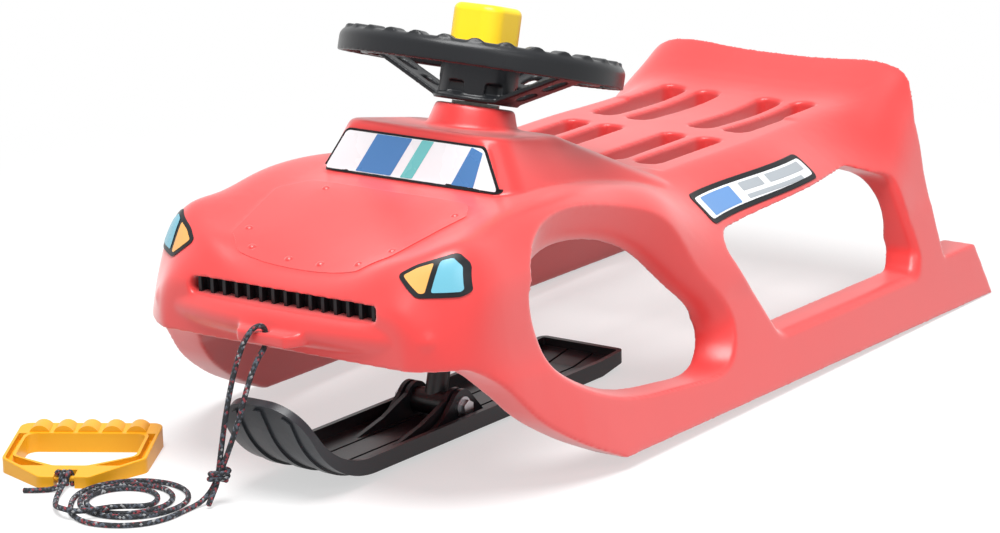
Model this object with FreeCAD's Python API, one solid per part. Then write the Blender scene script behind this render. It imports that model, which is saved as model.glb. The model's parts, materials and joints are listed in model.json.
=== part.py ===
"""Steering sled: a moulded car-shaped sled with a steering wheel, one front ski and a tow cord.

Millimetres. +Z is up, the sled's front faces -Y, and +X is the driver's left.
The origin lies on the ground, midway along the sled, so that ski tip and runner tails are equally far.
The body is drawn level in its own frame, with the runner soles at z = 0, and is then pitched nose up
about the runner tails until the heel of the ski, which hangs lower than the runners, is on the ground.
"""
import FreeCAD, Part
import math
import os

Vec = FreeCAD.Vector

# Overall sizes
BODY_LENGTH = 805.0
HALF_WIDTH = 204.0
SEAT_HEIGHT = 183.0
TAIL_Y = 409.0
NOSE_Y = TAIL_Y - BODY_LENGTH
SKI_DROP = 7.0
OVERRUN = 60.0
FINE_OVERRUN = 2.0
SEAT_GAP = 0.3
RUN_GAP = 0.06

# Moulded body
SIDE_WALL = 34.0
DECK_WALL = 20.0
EDGE_INSET = 12.0
CORNER_INSET = 23.0
HOLD_SHARE = 0.3
TUNNEL_FIRST = 2
SIDE_FOOT = 206.0
SIDE_LEAN_SHARE = 0.3017
SECTION_Y_SHARES = (0.029, 0.037, 0.056, 0.084, 0.1404, 0.2025, 0.277, 0.364,
                    0.426, 0.457, 0.507, 0.699, 0.855, 0.892, 0.929, 0.966, 1.0)
# Each section runs from the centre line over the fender or seat edge and down the side.
SECTION_SHARES = (
    ((0, 0.78), (0.27, 0.787), (0.43, 0.79), (0.53, 0.755), (0.565, 0.70), (0.59, 0.60), (0.60, 0)),
    ((0, 0.852), (0.294, 0.862), (0.465, 0.868), (0.575, 0.83), (0.625, 0.765), (0.655, 0.63), (0.68, 0)),
    ((0, 0.896), (0.294, 0.932), (0.495, 0.975), (0.60, 0.925), (0.675, 0.825), (0.735, 0.655), (0.80, 0)),
    ((0, 0.945), (0.294, 0.975), (0.515, 1.03), (0.64, 1.05), (0.725, 0.965), (0.80, 0.70), (0.91, 0)),
    ((0, 1.025), (0.294, 1.038), (0.515, 1.068), (0.65, 1.083), (0.745, 1.01), (0.83, 0.69), (0.968, 0)),
    ((0, 1.10), (0.294, 1.102), (0.50, 1.106), (0.66, 1.114), (0.748, 1.035), (0.833, 0.685), (0.995, 0)),
    ((0, 1.12), (0.294, 1.12), (0.515, 1.12), (0.66, 1.118), (0.745, 1.04), (0.825, 0.70), (1, 0)),
    ((0, 1.10), (0.294, 1.095), (0.515, 1.085), (0.655, 1.068), (0.738, 0.995), (0.82, 0.69), (1, 0)),
    ((0, 1.05), (0.294, 1.045), (0.51, 1.035), (0.64, 1.02), (0.738, 0.955), (0.82, 0.685), (1, 0)),
    ((0, 1.018), (0.294, 1.015), (0.51, 1.01), (0.635, 0.97), (0.755, 0.865), (0.82, 0.685), (1, 0)),
    ((0, 1.0), (0.294, 1.0), (0.51, 0.995), (0.63, 0.91), (0.765, 0.775), (0.825, 0.66), (1, 0)),
    ((0, 1.0), (0.294, 1.0), (0.51, 0.995), (0.63, 0.91), (0.765, 0.775), (0.825, 0.66), (1, 0)),
    ((0, 1.0), (0.294, 1.0), (0.51, 1.0), (0.63, 0.925), (0.76, 0.79), (0.822, 0.67), (1, 0)),
    ((0, 1.03), (0.294, 1.03), (0.515, 1.03), (0.64, 1.0), (0.735, 0.905), (0.815, 0.70), (1, 0)),
    ((0, 1.105), (0.294, 1.11), (0.53, 1.115), (0.65, 1.08), (0.722, 0.99), (0.808, 0.725), (1, 0)),
    ((0, 1.185), (0.294, 1.195), (0.545, 1.20), (0.665, 1.155), (0.725, 1.05), (0.805, 0.74), (1, 0)),
    ((0, 1.185), (0.294, 1.195), (0.545, 1.20), (0.665, 1.155), (0.725, 1.05), (0.805, 0.74), (1, 0)),
)
SEAT_FLAT_DEPTH = 0.5
SEAT_FLAT_HALF_SHARE = 0.5
SEAT_FLAT_SHARES = (0.512, 0.79)

# Raised bonnet panel with rivet heads, and the hollows in the rear posts
BONNET_RISE = 1.2
BONNET_CORNER = 9.0
BONNET_SINK = 24.0
BONNET_SHARES = ((0.294, 0.0571), (0.387, 0.0783), (0.4706, 0.1764), (0.392, 0.2075))
RIVET_SHARES = ((0.0784, 0.0696), (0.2647, 0.0702), (0.3554, 0.0944), (0.4142, 0.1776), (0.2745, 0.1938))
RIVET_RADIUS = 4.2
RIVET_RISE = 1.6
SCOOP_Y_SHARE = 0.8455
SCOOP_Z_SHARES = (0.60, 1.076)
SCOOP_RADII = (25.0, 39.7)
SCOOP_DEPTHS = (0.0, 7.0)

# Cabin on the bonnet, drawn as a foot outline and a roof outline
CABIN_FOOT_Z = 188.0
CABIN_REAR_FOOT_Z = 176.0
CABIN_ROOF_Z = 249.0
CABIN_REAR_Z = 230.0
CABIN_FOOT_SHARES = ((0.533, 0.2375), (0.60, 0.513))
CABIN_ROOF_SHARES = ((0.395, 0.2565), (0.36, 0.385))
CABIN_FOOT_CORNER = 26.0
CABIN_ROOF_CORNER = 22.0
CABIN_EDGE = 7.0
CABIN_WALL = 14.0
CABIN_HOLLOW_SINK = 30.0

# Front bumper, air intake and tow block
LIP_FRONT_Y = NOSE_Y + 10.0
LIP_SWEEP = 468.0
LIP_HALF_WIDTH = 132.0
LIP_Z = 126.0
LIP_RADIUS = 14.0
LIP_DEPTH = 46.0
INTAKE_HALF = 94.0
INTAKE_LOW_Z = 139.0
INTAKE_HIGH_Z = 152.0
INTAKE_BACK_Y = LIP_FRONT_Y + 30.0
INTAKE_CORNER = 5.0
TOW_HALF = 32.0
TOW_FRONT_Y = NOSE_Y - 3.0
TOW_LOW_Z = 114.5
TOW_HIGH_Z = 125.5
TOW_HOLE_SETBACK = 7.5
TOW_HOLE_RADIUS = 3.6
TOW_TAPER = 8.0
SWEEP_SHARES = ((0.068, 0.57), (0.0911, 0.51), (0.1125, 0.424), (0.1354, 0.315), (0.1503, 0.257),
                (0.1747, 0.184), (0.1996, 0.12), (0.2272, 0.061), (0.258, 0.0))

# Side openings, as shares of the body length and the seat height
ARCH_RIM_SHARES = ((0.158, 0.667), (0.173, 0.918), (0.217, 1.082), (0.296, 1.104), (0.364, 1.027),
                   (0.416, 0.885), (0.466, 0.59), (0.494, 0.383), (0.483, 0.245), (0.389, 0.19),
                   (0.296, 0.23), (0.205, 0.372), (0.165, 0.53))
ARCH_HOLE_SHARES = ((0.186, 0.645), (0.198, 0.80), (0.237, 0.868), (0.296, 0.872), (0.352, 0.82),
                    (0.401, 0.705), (0.445, 0.503), (0.471, 0.317), (0.456, 0.208), (0.389, 0.175),
                    (0.314, 0.219), (0.234, 0.361), (0.196, 0.503))
ARCH_DEPTH = 42.0
ARCH_ROLL_SHARES = ((-0.14, 1.07), (0.12, 0.72), (0.45, 0.27), (1.0, 0.0), (1.9, 0.0))
WINDOW_SHARES = ((0.507, 0.743), (0.796, 0.798), (0.852, 0.70), (0.866, 0.33), (0.852, 0.23), (0.573, 0.23))
WINDOW_CORNER = 13.0
WINDOW_BEVEL = 8.0
POST_SHARES = ((0.954, 1.26), (0.949, 1.10), (0.929, 0.907), (0.9217, 0.65), (0.919, 0.33), (0.919, 0.262))
TAIL_BLOCK_Z = 47.0
TAIL_SLOPE = 10.0

# Seat slots
SLOT_X_SHARES = (-0.343, -0.162, 0.162, 0.343)
SLOT_WIDTH = 25.0
SLOT_ROW_SHARES = ((0.5355, 0.672), (0.7093, 0.867))
SLOT_CORNER = 9.0
SLOT_FLOOR_Z = 140.0

# Thin panels let into the body
DECAL_DEPTH = 1.0
SCREEN_FOOT_HALF = 92.5
SCREEN_HEAD_HALF = 72.0
SCREEN_FOOT_Z = 205.5
SCREEN_HEAD_Z = 242.0
SCREEN_CORNER = 5.0
LAMP_SHARES = ((0.503, 0.96), (0.558, 1.0), (0.679, 1.048), (0.728, 1.003),
               (0.76, 0.896), (0.738, 0.8776), (0.602, 0.8754), (0.559, 0.91))
LAMP_CORNER = 2.5
LAMP_REACH_SHARE = 0.11
LABEL_SHARES = ((0.508, 0.901), (0.7255, 0.907), (0.728, 0.789), (0.512, 0.76))
LABEL_CORNER = 6.0
LABEL_INNER_SHARE = 0.5
GRILLE_PLATE = 3.0
GRILLE_SLAT = 3.0
GRILLE_SLATS = 15
GRILLE_DEPTH = 7.0

# Steering axis: it leans back, and passes the wheel centre
STEER_LEAN = 15.5
WHEEL_Y = -97.5
WHEEL_Z = 291.0
PIVOT_Z = 12.0
COLUMN_RADIUS = 9.5
COLUMN_BORE = 7.0
HUB_DROP = 38.0
BUSH_RADIUS = 13.0
BUSH_LENGTH = 18.0
BUSH_FLANGE = 2.5
BUSH_FLANGE_RADIUS = 20.0
PLINTH_TOP_RADIUS = 33.0
PLINTH_FOOT_RADIUS = 40.0
PLINTH_HEIGHT = 24.0
BOSS_RADIUS = 20.0
BOSS_LOW_Z = 112.0
WASHER_THICK = 2.0
RETAINER_RADIUS = 2.5
RETAINER_LENGTH = 27.0

# Steering wheel
RIM_RADIUS = 120.0
RIM_WIDTH = 23.0
RIM_TOP = 9.0
RIM_DEPTH = 20.0
RIM_WALL = 3.5
RIM_ROUND = 8.0
RIM_RAKE = 0.8
RIM_RIBS = 30
RIM_RIB_THICK = 2.0
GRIP_BUMPS = 28
GRIP_BUMP_RADIUS = 9.0
GRIP_BUMP_RISE = 2.6
GRIP_BUMP_LENGTH = 15.0
HUB_RADIUS = 33.0
HUB_TOP = 1.0
HUB_WALL = 4.0
HUB_FLOOR = 16.0
HUB_CAP = 6.0
HUB_POCKETS = 6
HUB_POCKET_WIDTH = 15.0
HUB_POCKET_DEPTH = 4.0
HUB_POCKET_MARGIN = 6.0
HUB_FOOT_RADIUS = 36.0
HUB_FOOT_THICK = 4.0
SPOKE_WIDTH = 34.0
SPOKE_THICK = 5.0
SPOKE_HOLE_WIDTH = 11.0
SPOKE_HOLE_LENGTHS = (17.0, 21.0)
SPOKE_HOLE_SHARES = (0.3, 0.68)
SPOKE_HOLE_ROUND_SHARE = 0.48
SHIFT_SHARE = 0.5
SPOKE_ANGLES = (0.0, 180.0, 90.0)
SCREW_RADIUS = 3.0
SCREW_HEAD_RADIUS = 6.0
SCREW_HEAD_THICK = 4.0
SCREW_LENGTH = 26.0
COLUMN_PLUG = 34.0

# Horn button and squeaker inside the hub
HORN_SIDE = 49.0
HORN_CORNER = 15.0
HORN_TOP = 43.0
HORN_WALL = 2.5
HORN_TRAVEL = 4.0
HORN_EDGE = 6.0
SQUEAKER_RADIUS = 14.0
SQUEAKER_WALL = 4.0

# Front ski; its sole hangs lower than the runners by the drop
SKI_TIP_Y = -TAIL_Y
SKI_TAIL_Y = 42.0
SKI_HALF = 44.0
SKI_THICK = 4.0
SKI_FLANGE = 16.0
SKI_BEND_FLANGE = 13.0
SKI_TIP_FLANGE = 9.0
SKI_TAIL_FLANGE = 12.5
SKI_FLANGE_WALL = 4.5
SKI_BEND_RADIUS = 95.0
SKI_BEND_ANGLE = 62.0
SKI_TIP_RUN = 27.0
SKI_TIP_CORNER = 36.0
SKI_TAIL_CORNER = 7.0
SKI_TAIL_BEVEL = 34.0
SKI_TAIL_RISE = 6.0
SKI_GROOVE_X_SHARES = (-0.3, 0.3)
SKI_GROOVE_WIDTH = 2.6
SKI_GROOVE_DEPTH = 1.6
SKI_RIMS = (SKI_TAIL_FLANGE, SKI_FLANGE, SKI_FLANGE, SKI_BEND_FLANGE, SKI_TIP_FLANGE)
KEEL_X_SHARES = (-0.6, 0.0, 0.6)
KEEL_WIDTH = 7.0
KEEL_DEPTH = 2.0
EAR_INNER = 18.0
EAR_THICK = 4.0
EAR_SPACE = 3.0
CROSS_RADIUS = 11.0
EAR_RADIUS = 15.0
EAR_FOOT = 70.0
EAR_FLANK_SHARE = 0.9
GUSSET_MID_SHARE = 0.75
EAR_GUSSET_LENGTHS = (92.0, 56.0)
BOLT_RADIUS = 4.0
BOLT_HEAD_RADIUS = 7.0
BOLT_HEAD = 5.0
NUT_THICK = 6.5
BOLT_WASHER_RADIUS = 9.0
BOLT_WASHER = 1.5
BOLT_STICKOUT = 2.0

# Tow cord, knots and handle, in the part's own frame
CORD_DIAMETER = 4.5
CORD_RADIUS = CORD_DIAMETER / 2
COIL_CENTRE = (-95.0, -455.0)
COIL_TURN = 35.8
COIL_LEFTS = (-45.0, -38.5, -33.4)
COIL_RIGHTS = (47.5, 35.0, 23.0)
COIL_EXIT = -6.0
COIL_EXIT_TURN = 50.0
COIL_SKIP = 12
FLOOR_GAP = 0.05
LEAD_STRAIGHT = 16.0
END_STRAIGHT = 9.0
ARC_REACH_SHARE = 0.45
LOOP_ROUTE = ((-29.0, -420.0, 30.0), (-26.0, -418.0, 52.0), (-22.5, -415.5, 76.0), (-18.5, -411.0, 102.0),
              (-13.5, -406.0, 124.0), (-8.5, -401.5, 138.0), (-3.5, -396.0, 144.6), (0.0, -389.2, 142.5),
              (0.0, -389.4, 127.0), (-1.2, -398.5, 119.5), (-3.5, -406.0, 106.0), (-6.5, -410.3, 91.0),
              (-10.0, -413.5, 74.0), (-17.0, -417.5, 52.0), (-25.0, -419.5, 32.0))
LEAD_ROUTE = ((-31.5, -422.0, 18.0), (-36.0, -426.0, 8.0), (-39.0, -436.0, 2.3), (-38.5, -454.0, 2.3),
              (-37.5, -472.0, 2.3), (-42.0, -489.0, 2.3), (-52.0, -502.0, 2.3), (-67.0, -511.0, 2.3),
              (-84.0, -515.0, 2.3), (-99.5, -511.5, 2.3), (-114.0, -503.0, 2.3))
TAIL_ROUTE = ((-30.5, -421.0, 18.0), (-29.5, -428.0, 11.0), (-29.0, -435.0, 3.5))
# The cord's end, in the coil's own directions: along, across and up
END_ROUTE = ((-8.0, 31.2, 7.7), (-24.0, 38.5, 7.7), (-38.5, 42.0, 7.7), (-50.0, 32.5, 7.7), (-56.0, 18.0, 4.6),
             (-58.0, 3.0, 2.3), (-58.5, -12.0, 2.4), (-56.5, -25.0, 4.2), (-54.0, -35.5, 8.0))
FREE_ROUTE = ((-160.0, -459.0, 5.0), (-163.0, -467.0, 2.6), (-172.0, -474.5, 2.3), (-183.0, -481.0, 2.3))
KNOT_CENTRE = (-30.0, -420.0, 24.0)
KNOT_RADIUS = 5.2
KNOT_LENGTH = 14.0
KNOT_WRAPS = 3
KNOT_LEAN = (0.2, 0.3, 1.0)

HANDLE_BAR_CENTRE = (-217.0, -360.0)
HANDLE_TURN = 29.5
HANDLE_HALF = 60.0
HANDLE_SIDE = 70.0
HANDLE_REACH = 110.0
HANDLE_BOSS_HALF = 21.0
HANDLE_BAR = 24.0
HANDLE_BAR_BACK = 7.0
HANDLE_EDGE = 0.8
HANDLE_BOSS_FLARE = 3.0
HANDLE_BUMP_RISE = 4.0
HANDLE_RAIL = 10.0
HANDLE_FRONT = 24.0
HANDLE_HEIGHT = 18.0
HANDLE_BOSS_HEIGHT = 10.0
HANDLE_CORNER = 9.0
HANDLE_WALL = 2.6
HANDLE_GROOVE_DEPTH = 6.0
HANDLE_BUMPS = 5
HANDLE_BUMP_RADIUS = 9.5
NOTCH_WIDTH = 17.0
NOTCH_DEPTH = 15.0
CROSS_BAR_RADIUS = 2.2
CROSS_BAR_SETBACK = 5.0
CROSS_BAR_Z = 6.8
WRAP_PITCH = 4.2


# Helpers for places and outlines
def body_y(share):
    return NOSE_Y + share * BODY_LENGTH


def body_x(share):
    return share * HALF_WIDTH


def body_z(share):
    return share * SEAT_HEIGHT


def side_point(share_y, share_z, depth):
    z = body_z(share_z)
    return Vec(SIDE_FOOT - SIDE_LEAN_SHARE * z - depth, body_y(share_y), z)


def rounded_wire(points, radius):
    """A closed outline of straight runs, with each corner rounded by a tangent arc."""
    edges = []
    starts = []
    ends = []
    for index, corner in enumerate(points):
        before = points[index - 1] - corner
        after = points[(index + 1) % len(points)] - corner
        half = before.getAngle(after) / 2
        inward = before.normalize() + after.normalize()
        reach = radius / math.tan(half)
        starts.append(corner + before * reach)
        ends.append(corner + after * reach)
        centre = corner + inward.normalize() * (radius / math.sin(half))
        middle = centre + (corner - centre).normalize() * radius
        edges.append(Part.Arc(starts[-1], middle, ends[-1]).toShape())
    sides = []
    for index, arc in enumerate(edges):
        sides.append(arc)
        sides.append(Part.LineSegment(ends[index], starts[(index + 1) % len(points)]).toShape())
    return Part.Wire(sides)


def polygon_face(points):
    return Part.Face(Part.makePolygon(list(points) + [points[0]]))


def rounded_face(points, radius):
    return Part.Face(rounded_wire(points, radius))


def mirrored(shape):
    return shape.mirror(Vec(0, 0, 0), Vec(1, 0, 0))


def fused(shapes):
    return shapes[0].multiFuse(list(shapes[1:])).removeSplitter()


def pitched(shape):
    """Turn a piece drawn in the body's level frame to the stance on the ground."""
    turned = shape.copy()
    turned.rotate(Vec(0, TAIL_Y, 0), Vec(1, 0, 0), -BODY_PITCH)
    return turned


def pitched_point(point):
    return FreeCAD.Rotation(Vec(1, 0, 0), -BODY_PITCH).multVec(point - Vec(0, TAIL_Y, 0)) + Vec(0, TAIL_Y, 0)


STEER_AXIS = Vec(0, math.sin(math.radians(STEER_LEAN)), math.cos(math.radians(STEER_LEAN)))
WHEEL_CENTRE = Vec(0, WHEEL_Y, WHEEL_Z)
PIVOT_REACH = (WHEEL_Z - PIVOT_Z) / STEER_AXIS.z
PIVOT_POINT = WHEEL_CENTRE - STEER_AXIS * PIVOT_REACH
BODY_PITCH = math.degrees(math.atan(SKI_DROP / (TAIL_Y - SKI_TAIL_Y + SKI_TAIL_BEVEL)))


def on_axis(height):
    """A point of the steering axis, measured up from the wheel centre."""
    return WHEEL_CENTRE + STEER_AXIS * height


def axis_cylinder(radius, low, high):
    return Part.makeCylinder(radius, high - low, on_axis(low), STEER_AXIS)


def steered(shape):
    """Set a piece drawn about a vertical axis through the origin onto the steering axis."""
    placed = shape.copy()
    placed.rotate(Vec(0, 0, 0), Vec(1, 0, 0), -STEER_LEAN)
    placed.translate(WHEEL_CENTRE)
    return placed


# Moulded body
def section_wire(y, points):
    """One cross-section: a curve over the top from shoulder to shoulder, straight sides and a flat sole."""
    foot_x, foot_z = points[-1]
    shoulder_x, shoulder_z = points[-2]
    hold = (shoulder_x + (foot_x - shoulder_x) * HOLD_SHARE, shoulder_z + (foot_z - shoulder_z) * HOLD_SHARE)
    half = [Vec(x, y, z) for x, z in points[:-1] + [hold]]
    left = [Vec(-point.x, y, point.z) for point in reversed(half)]
    curve = Part.BSplineCurve()
    curve.interpolate(left + half[1:])
    right_foot = Vec(foot_x, y, foot_z)
    left_foot = Vec(-foot_x, y, foot_z)
    return Part.Wire([Part.LineSegment(left_foot, left[0]).toShape(), curve.toShape(),
                      Part.LineSegment(half[-1], right_foot).toShape(),
                      Part.LineSegment(right_foot, left_foot).toShape()])


def section_points(shares):
    return [(body_x(x), body_z(z)) for x, z in shares]


def inset_points(points, depth):
    """Move a half outline inwards by a thin, even depth."""
    moved = []
    for index, (x, z) in enumerate(points):
        before = points[max(index - 1, 0)]
        after = points[min(index + 1, len(points) - 1)]
        run = Vec(after[0] - before[0], after[1] - before[1], 0).normalize()
        sideways = run.y * depth if index else 0
        moved.append((x + sideways, z - run.x * depth))
    return moved


def tunnel_points(points):
    """The half outline of the hollow: a deck wall below the top and a side wall inside the sides."""
    centre, crown, edge = [(x, z - DECK_WALL) for x, z in points[:3]]
    corner = (points[3][0] - CORNER_INSET, points[3][1] - CORNER_INSET)
    shoulder, foot = [(x - SIDE_WALL, z) for x, z in points[-2:]]
    slope = (foot[0] - shoulder[0]) / (shoulder[1] - foot[1])
    edge = (min(edge[0], shoulder[0]) - EDGE_INSET, edge[1])
    return [centre, crown, edge, corner, shoulder, (foot[0] + slope * OVERRUN, foot[1] - OVERRUN)]


def outer_skin(depth):
    wires = []
    for share, shares in zip(SECTION_Y_SHARES, SECTION_SHARES):
        points = section_points(shares)
        if depth:
            points = inset_points(points, depth)
        wires.append(section_wire(body_y(share), points))
    return Part.makeLoft(wires, True, False)


def tunnel():
    """The hollow under the deck, open below and behind."""
    wires = []
    for share, shares in list(zip(SECTION_Y_SHARES, SECTION_SHARES))[TUNNEL_FIRST:]:
        wires.append(section_wire(body_y(share), tunnel_points(section_points(shares))))
    last = wires[-1].copy()
    last.translate(Vec(0, OVERRUN, 0))
    return Part.makeLoft(wires + [last], True, False)


def cabin_outline(shares, front_z, rear_z, corner, wall):
    (front_half, front), (rear_half, rear) = shares
    front_x = body_x(front_half) - wall
    rear_x = body_x(rear_half) - wall
    front_y = body_y(front) + wall
    rear_y = body_y(rear) - wall
    corners = [Vec(-front_x, front_y, front_z - wall), Vec(front_x, front_y, front_z - wall),
               Vec(rear_x, rear_y, rear_z - wall), Vec(-rear_x, rear_y, rear_z - wall)]
    return rounded_wire(corners, corner)


def cabin(wall):
    sink = CABIN_HOLLOW_SINK if wall else 0
    foot_z = CABIN_FOOT_Z - sink
    foot = cabin_outline(CABIN_FOOT_SHARES, foot_z, CABIN_REAR_FOOT_Z - sink, CABIN_FOOT_CORNER, wall)
    roof = cabin_outline(CABIN_ROOF_SHARES, CABIN_ROOF_Z, CABIN_REAR_Z, CABIN_ROOF_CORNER, wall)
    block = Part.makeLoft([foot, roof], True, True)
    if wall:
        return block
    roof_face = max(block.Faces, key=lambda face: face.CenterOfMass.z)
    return block.makeFillet(CABIN_EDGE, roof_face.Edges)


def front_lip():
    """The rounded bumper lip, swept along a shallow arc across the nose."""
    axis_y = LIP_FRONT_Y + LIP_SWEEP
    front = axis_y - LIP_SWEEP + LIP_RADIUS
    back = front + LIP_DEPTH
    low = Vec(0, front, LIP_Z - LIP_RADIUS)
    nose = Vec(0, front - LIP_RADIUS, LIP_Z)
    high = Vec(0, front, LIP_Z + LIP_RADIUS)
    bar = Part.Wire([Part.Arc(low, nose, high).toShape(),
                     Part.LineSegment(high, Vec(0, back, high.z)).toShape(),
                     Part.LineSegment(Vec(0, back, high.z), Vec(0, back, low.z)).toShape(),
                     Part.LineSegment(Vec(0, back, low.z), low).toShape()])
    angle = math.degrees(math.asin(LIP_HALF_WIDTH / LIP_SWEEP))
    section = Part.Face(bar)
    section.rotate(Vec(0, axis_y, 0), Vec(0, 0, 1), -angle)
    sweep = section.revolve(Vec(0, axis_y, 0), Vec(0, 0, 1), 2 * angle)
    ends = []
    for side in (-angle, angle):
        ball = Part.makeSphere(LIP_RADIUS, Vec(0, front, LIP_Z))
        ball.rotate(Vec(0, axis_y, 0), Vec(0, 0, 1), side)
        ends.append(ball)
    return fused([sweep] + ends)


def tow_block():
    """The eye block under the lip, with a vertical hole for the cord."""
    back = LIP_FRONT_Y + LIP_DEPTH
    outline = [Vec(-TOW_HALF, back, TOW_LOW_Z), Vec(TOW_HALF, back, TOW_LOW_Z),
               Vec(TOW_HALF, LIP_FRONT_Y, TOW_LOW_Z), Vec(TOW_HALF - TOW_TAPER, TOW_FRONT_Y, TOW_LOW_Z),
               Vec(TOW_TAPER - TOW_HALF, TOW_FRONT_Y, TOW_LOW_Z), Vec(-TOW_HALF, LIP_FRONT_Y, TOW_LOW_Z)]
    return polygon_face(outline).extrude(Vec(0, 0, TOW_HIGH_Z - TOW_LOW_Z))


def tow_hole():
    foot = Vec(0, TOW_FRONT_Y + TOW_HOLE_SETBACK, TOW_LOW_Z - FINE_OVERRUN)
    return Part.makeCylinder(TOW_HOLE_RADIUS, TOW_HIGH_Z - TOW_LOW_Z + 2 * FINE_OVERRUN, foot)


def front_sweep():
    """What is cut away below the chin, where the legs sweep down into the runners."""
    x = -HALF_WIDTH - OVERRUN
    points = [Vec(x, body_y(y), body_z(z)) for y, z in SWEEP_SHARES]
    curve = Part.BSplineCurve()
    curve.interpolate(points)
    front = Vec(x, NOSE_Y - OVERRUN, points[0].z)
    deep = Vec(x, NOSE_Y - OVERRUN, -OVERRUN)
    under = Vec(x, points[-1].y, -OVERRUN)
    outline = Part.Wire([Part.LineSegment(front, points[0]).toShape(), curve.toShape(),
                         Part.LineSegment(points[-1], under).toShape(),
                         Part.LineSegment(under, deep).toShape(),
                         Part.LineSegment(deep, front).toShape()])
    return Part.Face(outline).extrude(Vec(-2 * x, 0, 0))


def rear_cut():
    """What is cut away behind the rear posts, above the tail blocks."""
    x = -HALF_WIDTH - OVERRUN
    edge = [Vec(x, body_y(y), body_z(z)) for y, z in POST_SHARES]
    top = body_z(POST_SHARES[0][1])
    block = [Vec(x, edge[-1].y, TAIL_BLOCK_Z), Vec(x, TAIL_Y - TAIL_SLOPE, TAIL_BLOCK_Z), Vec(x, TAIL_Y, 0)]
    beyond = [Vec(x, TAIL_Y + OVERRUN, 0), Vec(x, TAIL_Y + OVERRUN, top)]
    return polygon_face(edge + block + beyond).extrude(Vec(-2 * x, 0, 0))


def arch_cut():
    """The dished wheel arch: the rim rolls inwards to a smaller hole."""
    wires = []
    for depth_share, rim_share in ARCH_ROLL_SHARES:
        points = []
        for rim, hole in zip(ARCH_RIM_SHARES, ARCH_HOLE_SHARES):
            share_y = hole[0] + (rim[0] - hole[0]) * rim_share
            share_z = hole[1] + (rim[1] - hole[1]) * rim_share
            points.append(side_point(share_y, share_z, depth_share * ARCH_DEPTH))
        curve = Part.BSplineCurve()
        curve.interpolate(points, True)
        wires.append(Part.Wire([curve.toShape()]))
    return Part.makeLoft(wires, True, False)


def grown(points, amount):
    centre = sum(points, Vec(0, 0, 0)) * (1.0 / len(points))
    moved = []
    for point in points:
        away = point - centre
        moved.append(point + Vec(0, math.copysign(amount, away.y), math.copysign(amount, away.z)))
    return moved


def window_cut():
    """The side window, with a bevelled outer edge and a straight return wall."""
    outer = grown([side_point(y, z, -WINDOW_BEVEL) for y, z in WINDOW_SHARES], WINDOW_BEVEL)
    lip = [side_point(y, z, WINDOW_BEVEL) for y, z in WINDOW_SHARES]
    deep = [side_point(y, z, 2 * SIDE_WALL) for y, z in WINDOW_SHARES]
    corner = WINDOW_CORNER + WINDOW_BEVEL
    bevel = Part.makeLoft([rounded_wire(outer, corner), rounded_wire(lip, WINDOW_CORNER)], True, True)
    passage = Part.makeLoft([rounded_wire(lip, WINDOW_CORNER), rounded_wire(deep, WINDOW_CORNER)], True, True)
    return bevel.fuse(passage)


def slot_cuts():
    cuts = []
    for front, rear in SLOT_ROW_SHARES:
        for share in SLOT_X_SHARES:
            left = body_x(share) - SLOT_WIDTH / 2
            right = left + SLOT_WIDTH
            corners = [Vec(left, body_y(front), SLOT_FLOOR_Z), Vec(right, body_y(front), SLOT_FLOOR_Z),
                       Vec(right, body_y(rear), SLOT_FLOOR_Z), Vec(left, body_y(rear), SLOT_FLOOR_Z)]
            slot = rounded_face(corners, SLOT_CORNER)
            cuts.append(slot.extrude(Vec(0, 0, SEAT_HEIGHT - SLOT_FLOOR_Z + OVERRUN)))
    return cuts


def intake_cut():
    corners = [Vec(-INTAKE_HALF, NOSE_Y, INTAKE_LOW_Z), Vec(INTAKE_HALF, NOSE_Y, INTAKE_LOW_Z),
               Vec(INTAKE_HALF, NOSE_Y, INTAKE_HIGH_Z), Vec(-INTAKE_HALF, NOSE_Y, INTAKE_HIGH_Z)]
    return rounded_face(corners, INTAKE_CORNER).extrude(Vec(0, INTAKE_BACK_Y - NOSE_Y, 0))


def seat_flat():
    """What is shaved off the seat, so that its middle is a true plane."""
    half = body_x(SEAT_FLAT_HALF_SHARE)
    front, rear = [body_y(share) for share in SEAT_FLAT_SHARES]
    return Part.makeBox(2 * half, rear - front, OVERRUN, Vec(-half, front, SEAT_HEIGHT - SEAT_FLAT_DEPTH))


def bonnet_panel(skin):
    """The raised panel on the bonnet, with a row of rivet heads inside its edge."""
    left = [(body_x(x), body_y(y)) for x, y in BONNET_SHARES]
    right = [(-x, y) for x, y in reversed(left)]
    low = body_z(1) - BONNET_SINK
    outline = rounded_face([Vec(x, y, low) for x, y in left + right], BONNET_CORNER)
    panel = outer_skin(-BONNET_RISE).common(outline.extrude(Vec(0, 0, SEAT_HEIGHT)))
    pieces = [panel]
    for x_share, y_share in RIVET_SHARES:
        for side in (-1, 1):
            foot = Vec(side * body_x(x_share), body_y(y_share), low)
            crown = Part.makeLine(foot, foot + Vec(0, 0, SEAT_HEIGHT)).common(skin).BoundBox.ZMax
            centre = Vec(foot.x, foot.y, crown + BONNET_RISE + RIVET_RISE - RIVET_RADIUS)
            pieces.append(Part.makeSphere(RIVET_RADIUS, centre))
    return pieces


def post_scoop():
    """The hollow down the outside of a rear post, deepest under the cap."""
    wires = []
    for share_z, radius, depth in zip(SCOOP_Z_SHARES, SCOOP_RADII, SCOOP_DEPTHS):
        centre = side_point(SCOOP_Y_SHARE, share_z, depth - radius)
        wires.append(Part.Wire([Part.Circle(centre, Vec(0, 0, 1), radius).toShape()]))
    return Part.makeLoft(wires, True, True)


def boss_low():
    return -(WHEEL_Z - BOSS_LOW_Z) / STEER_AXIS.z


def plinth_top():
    return -HUB_DROP - SEAT_GAP - BUSH_FLANGE


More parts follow.
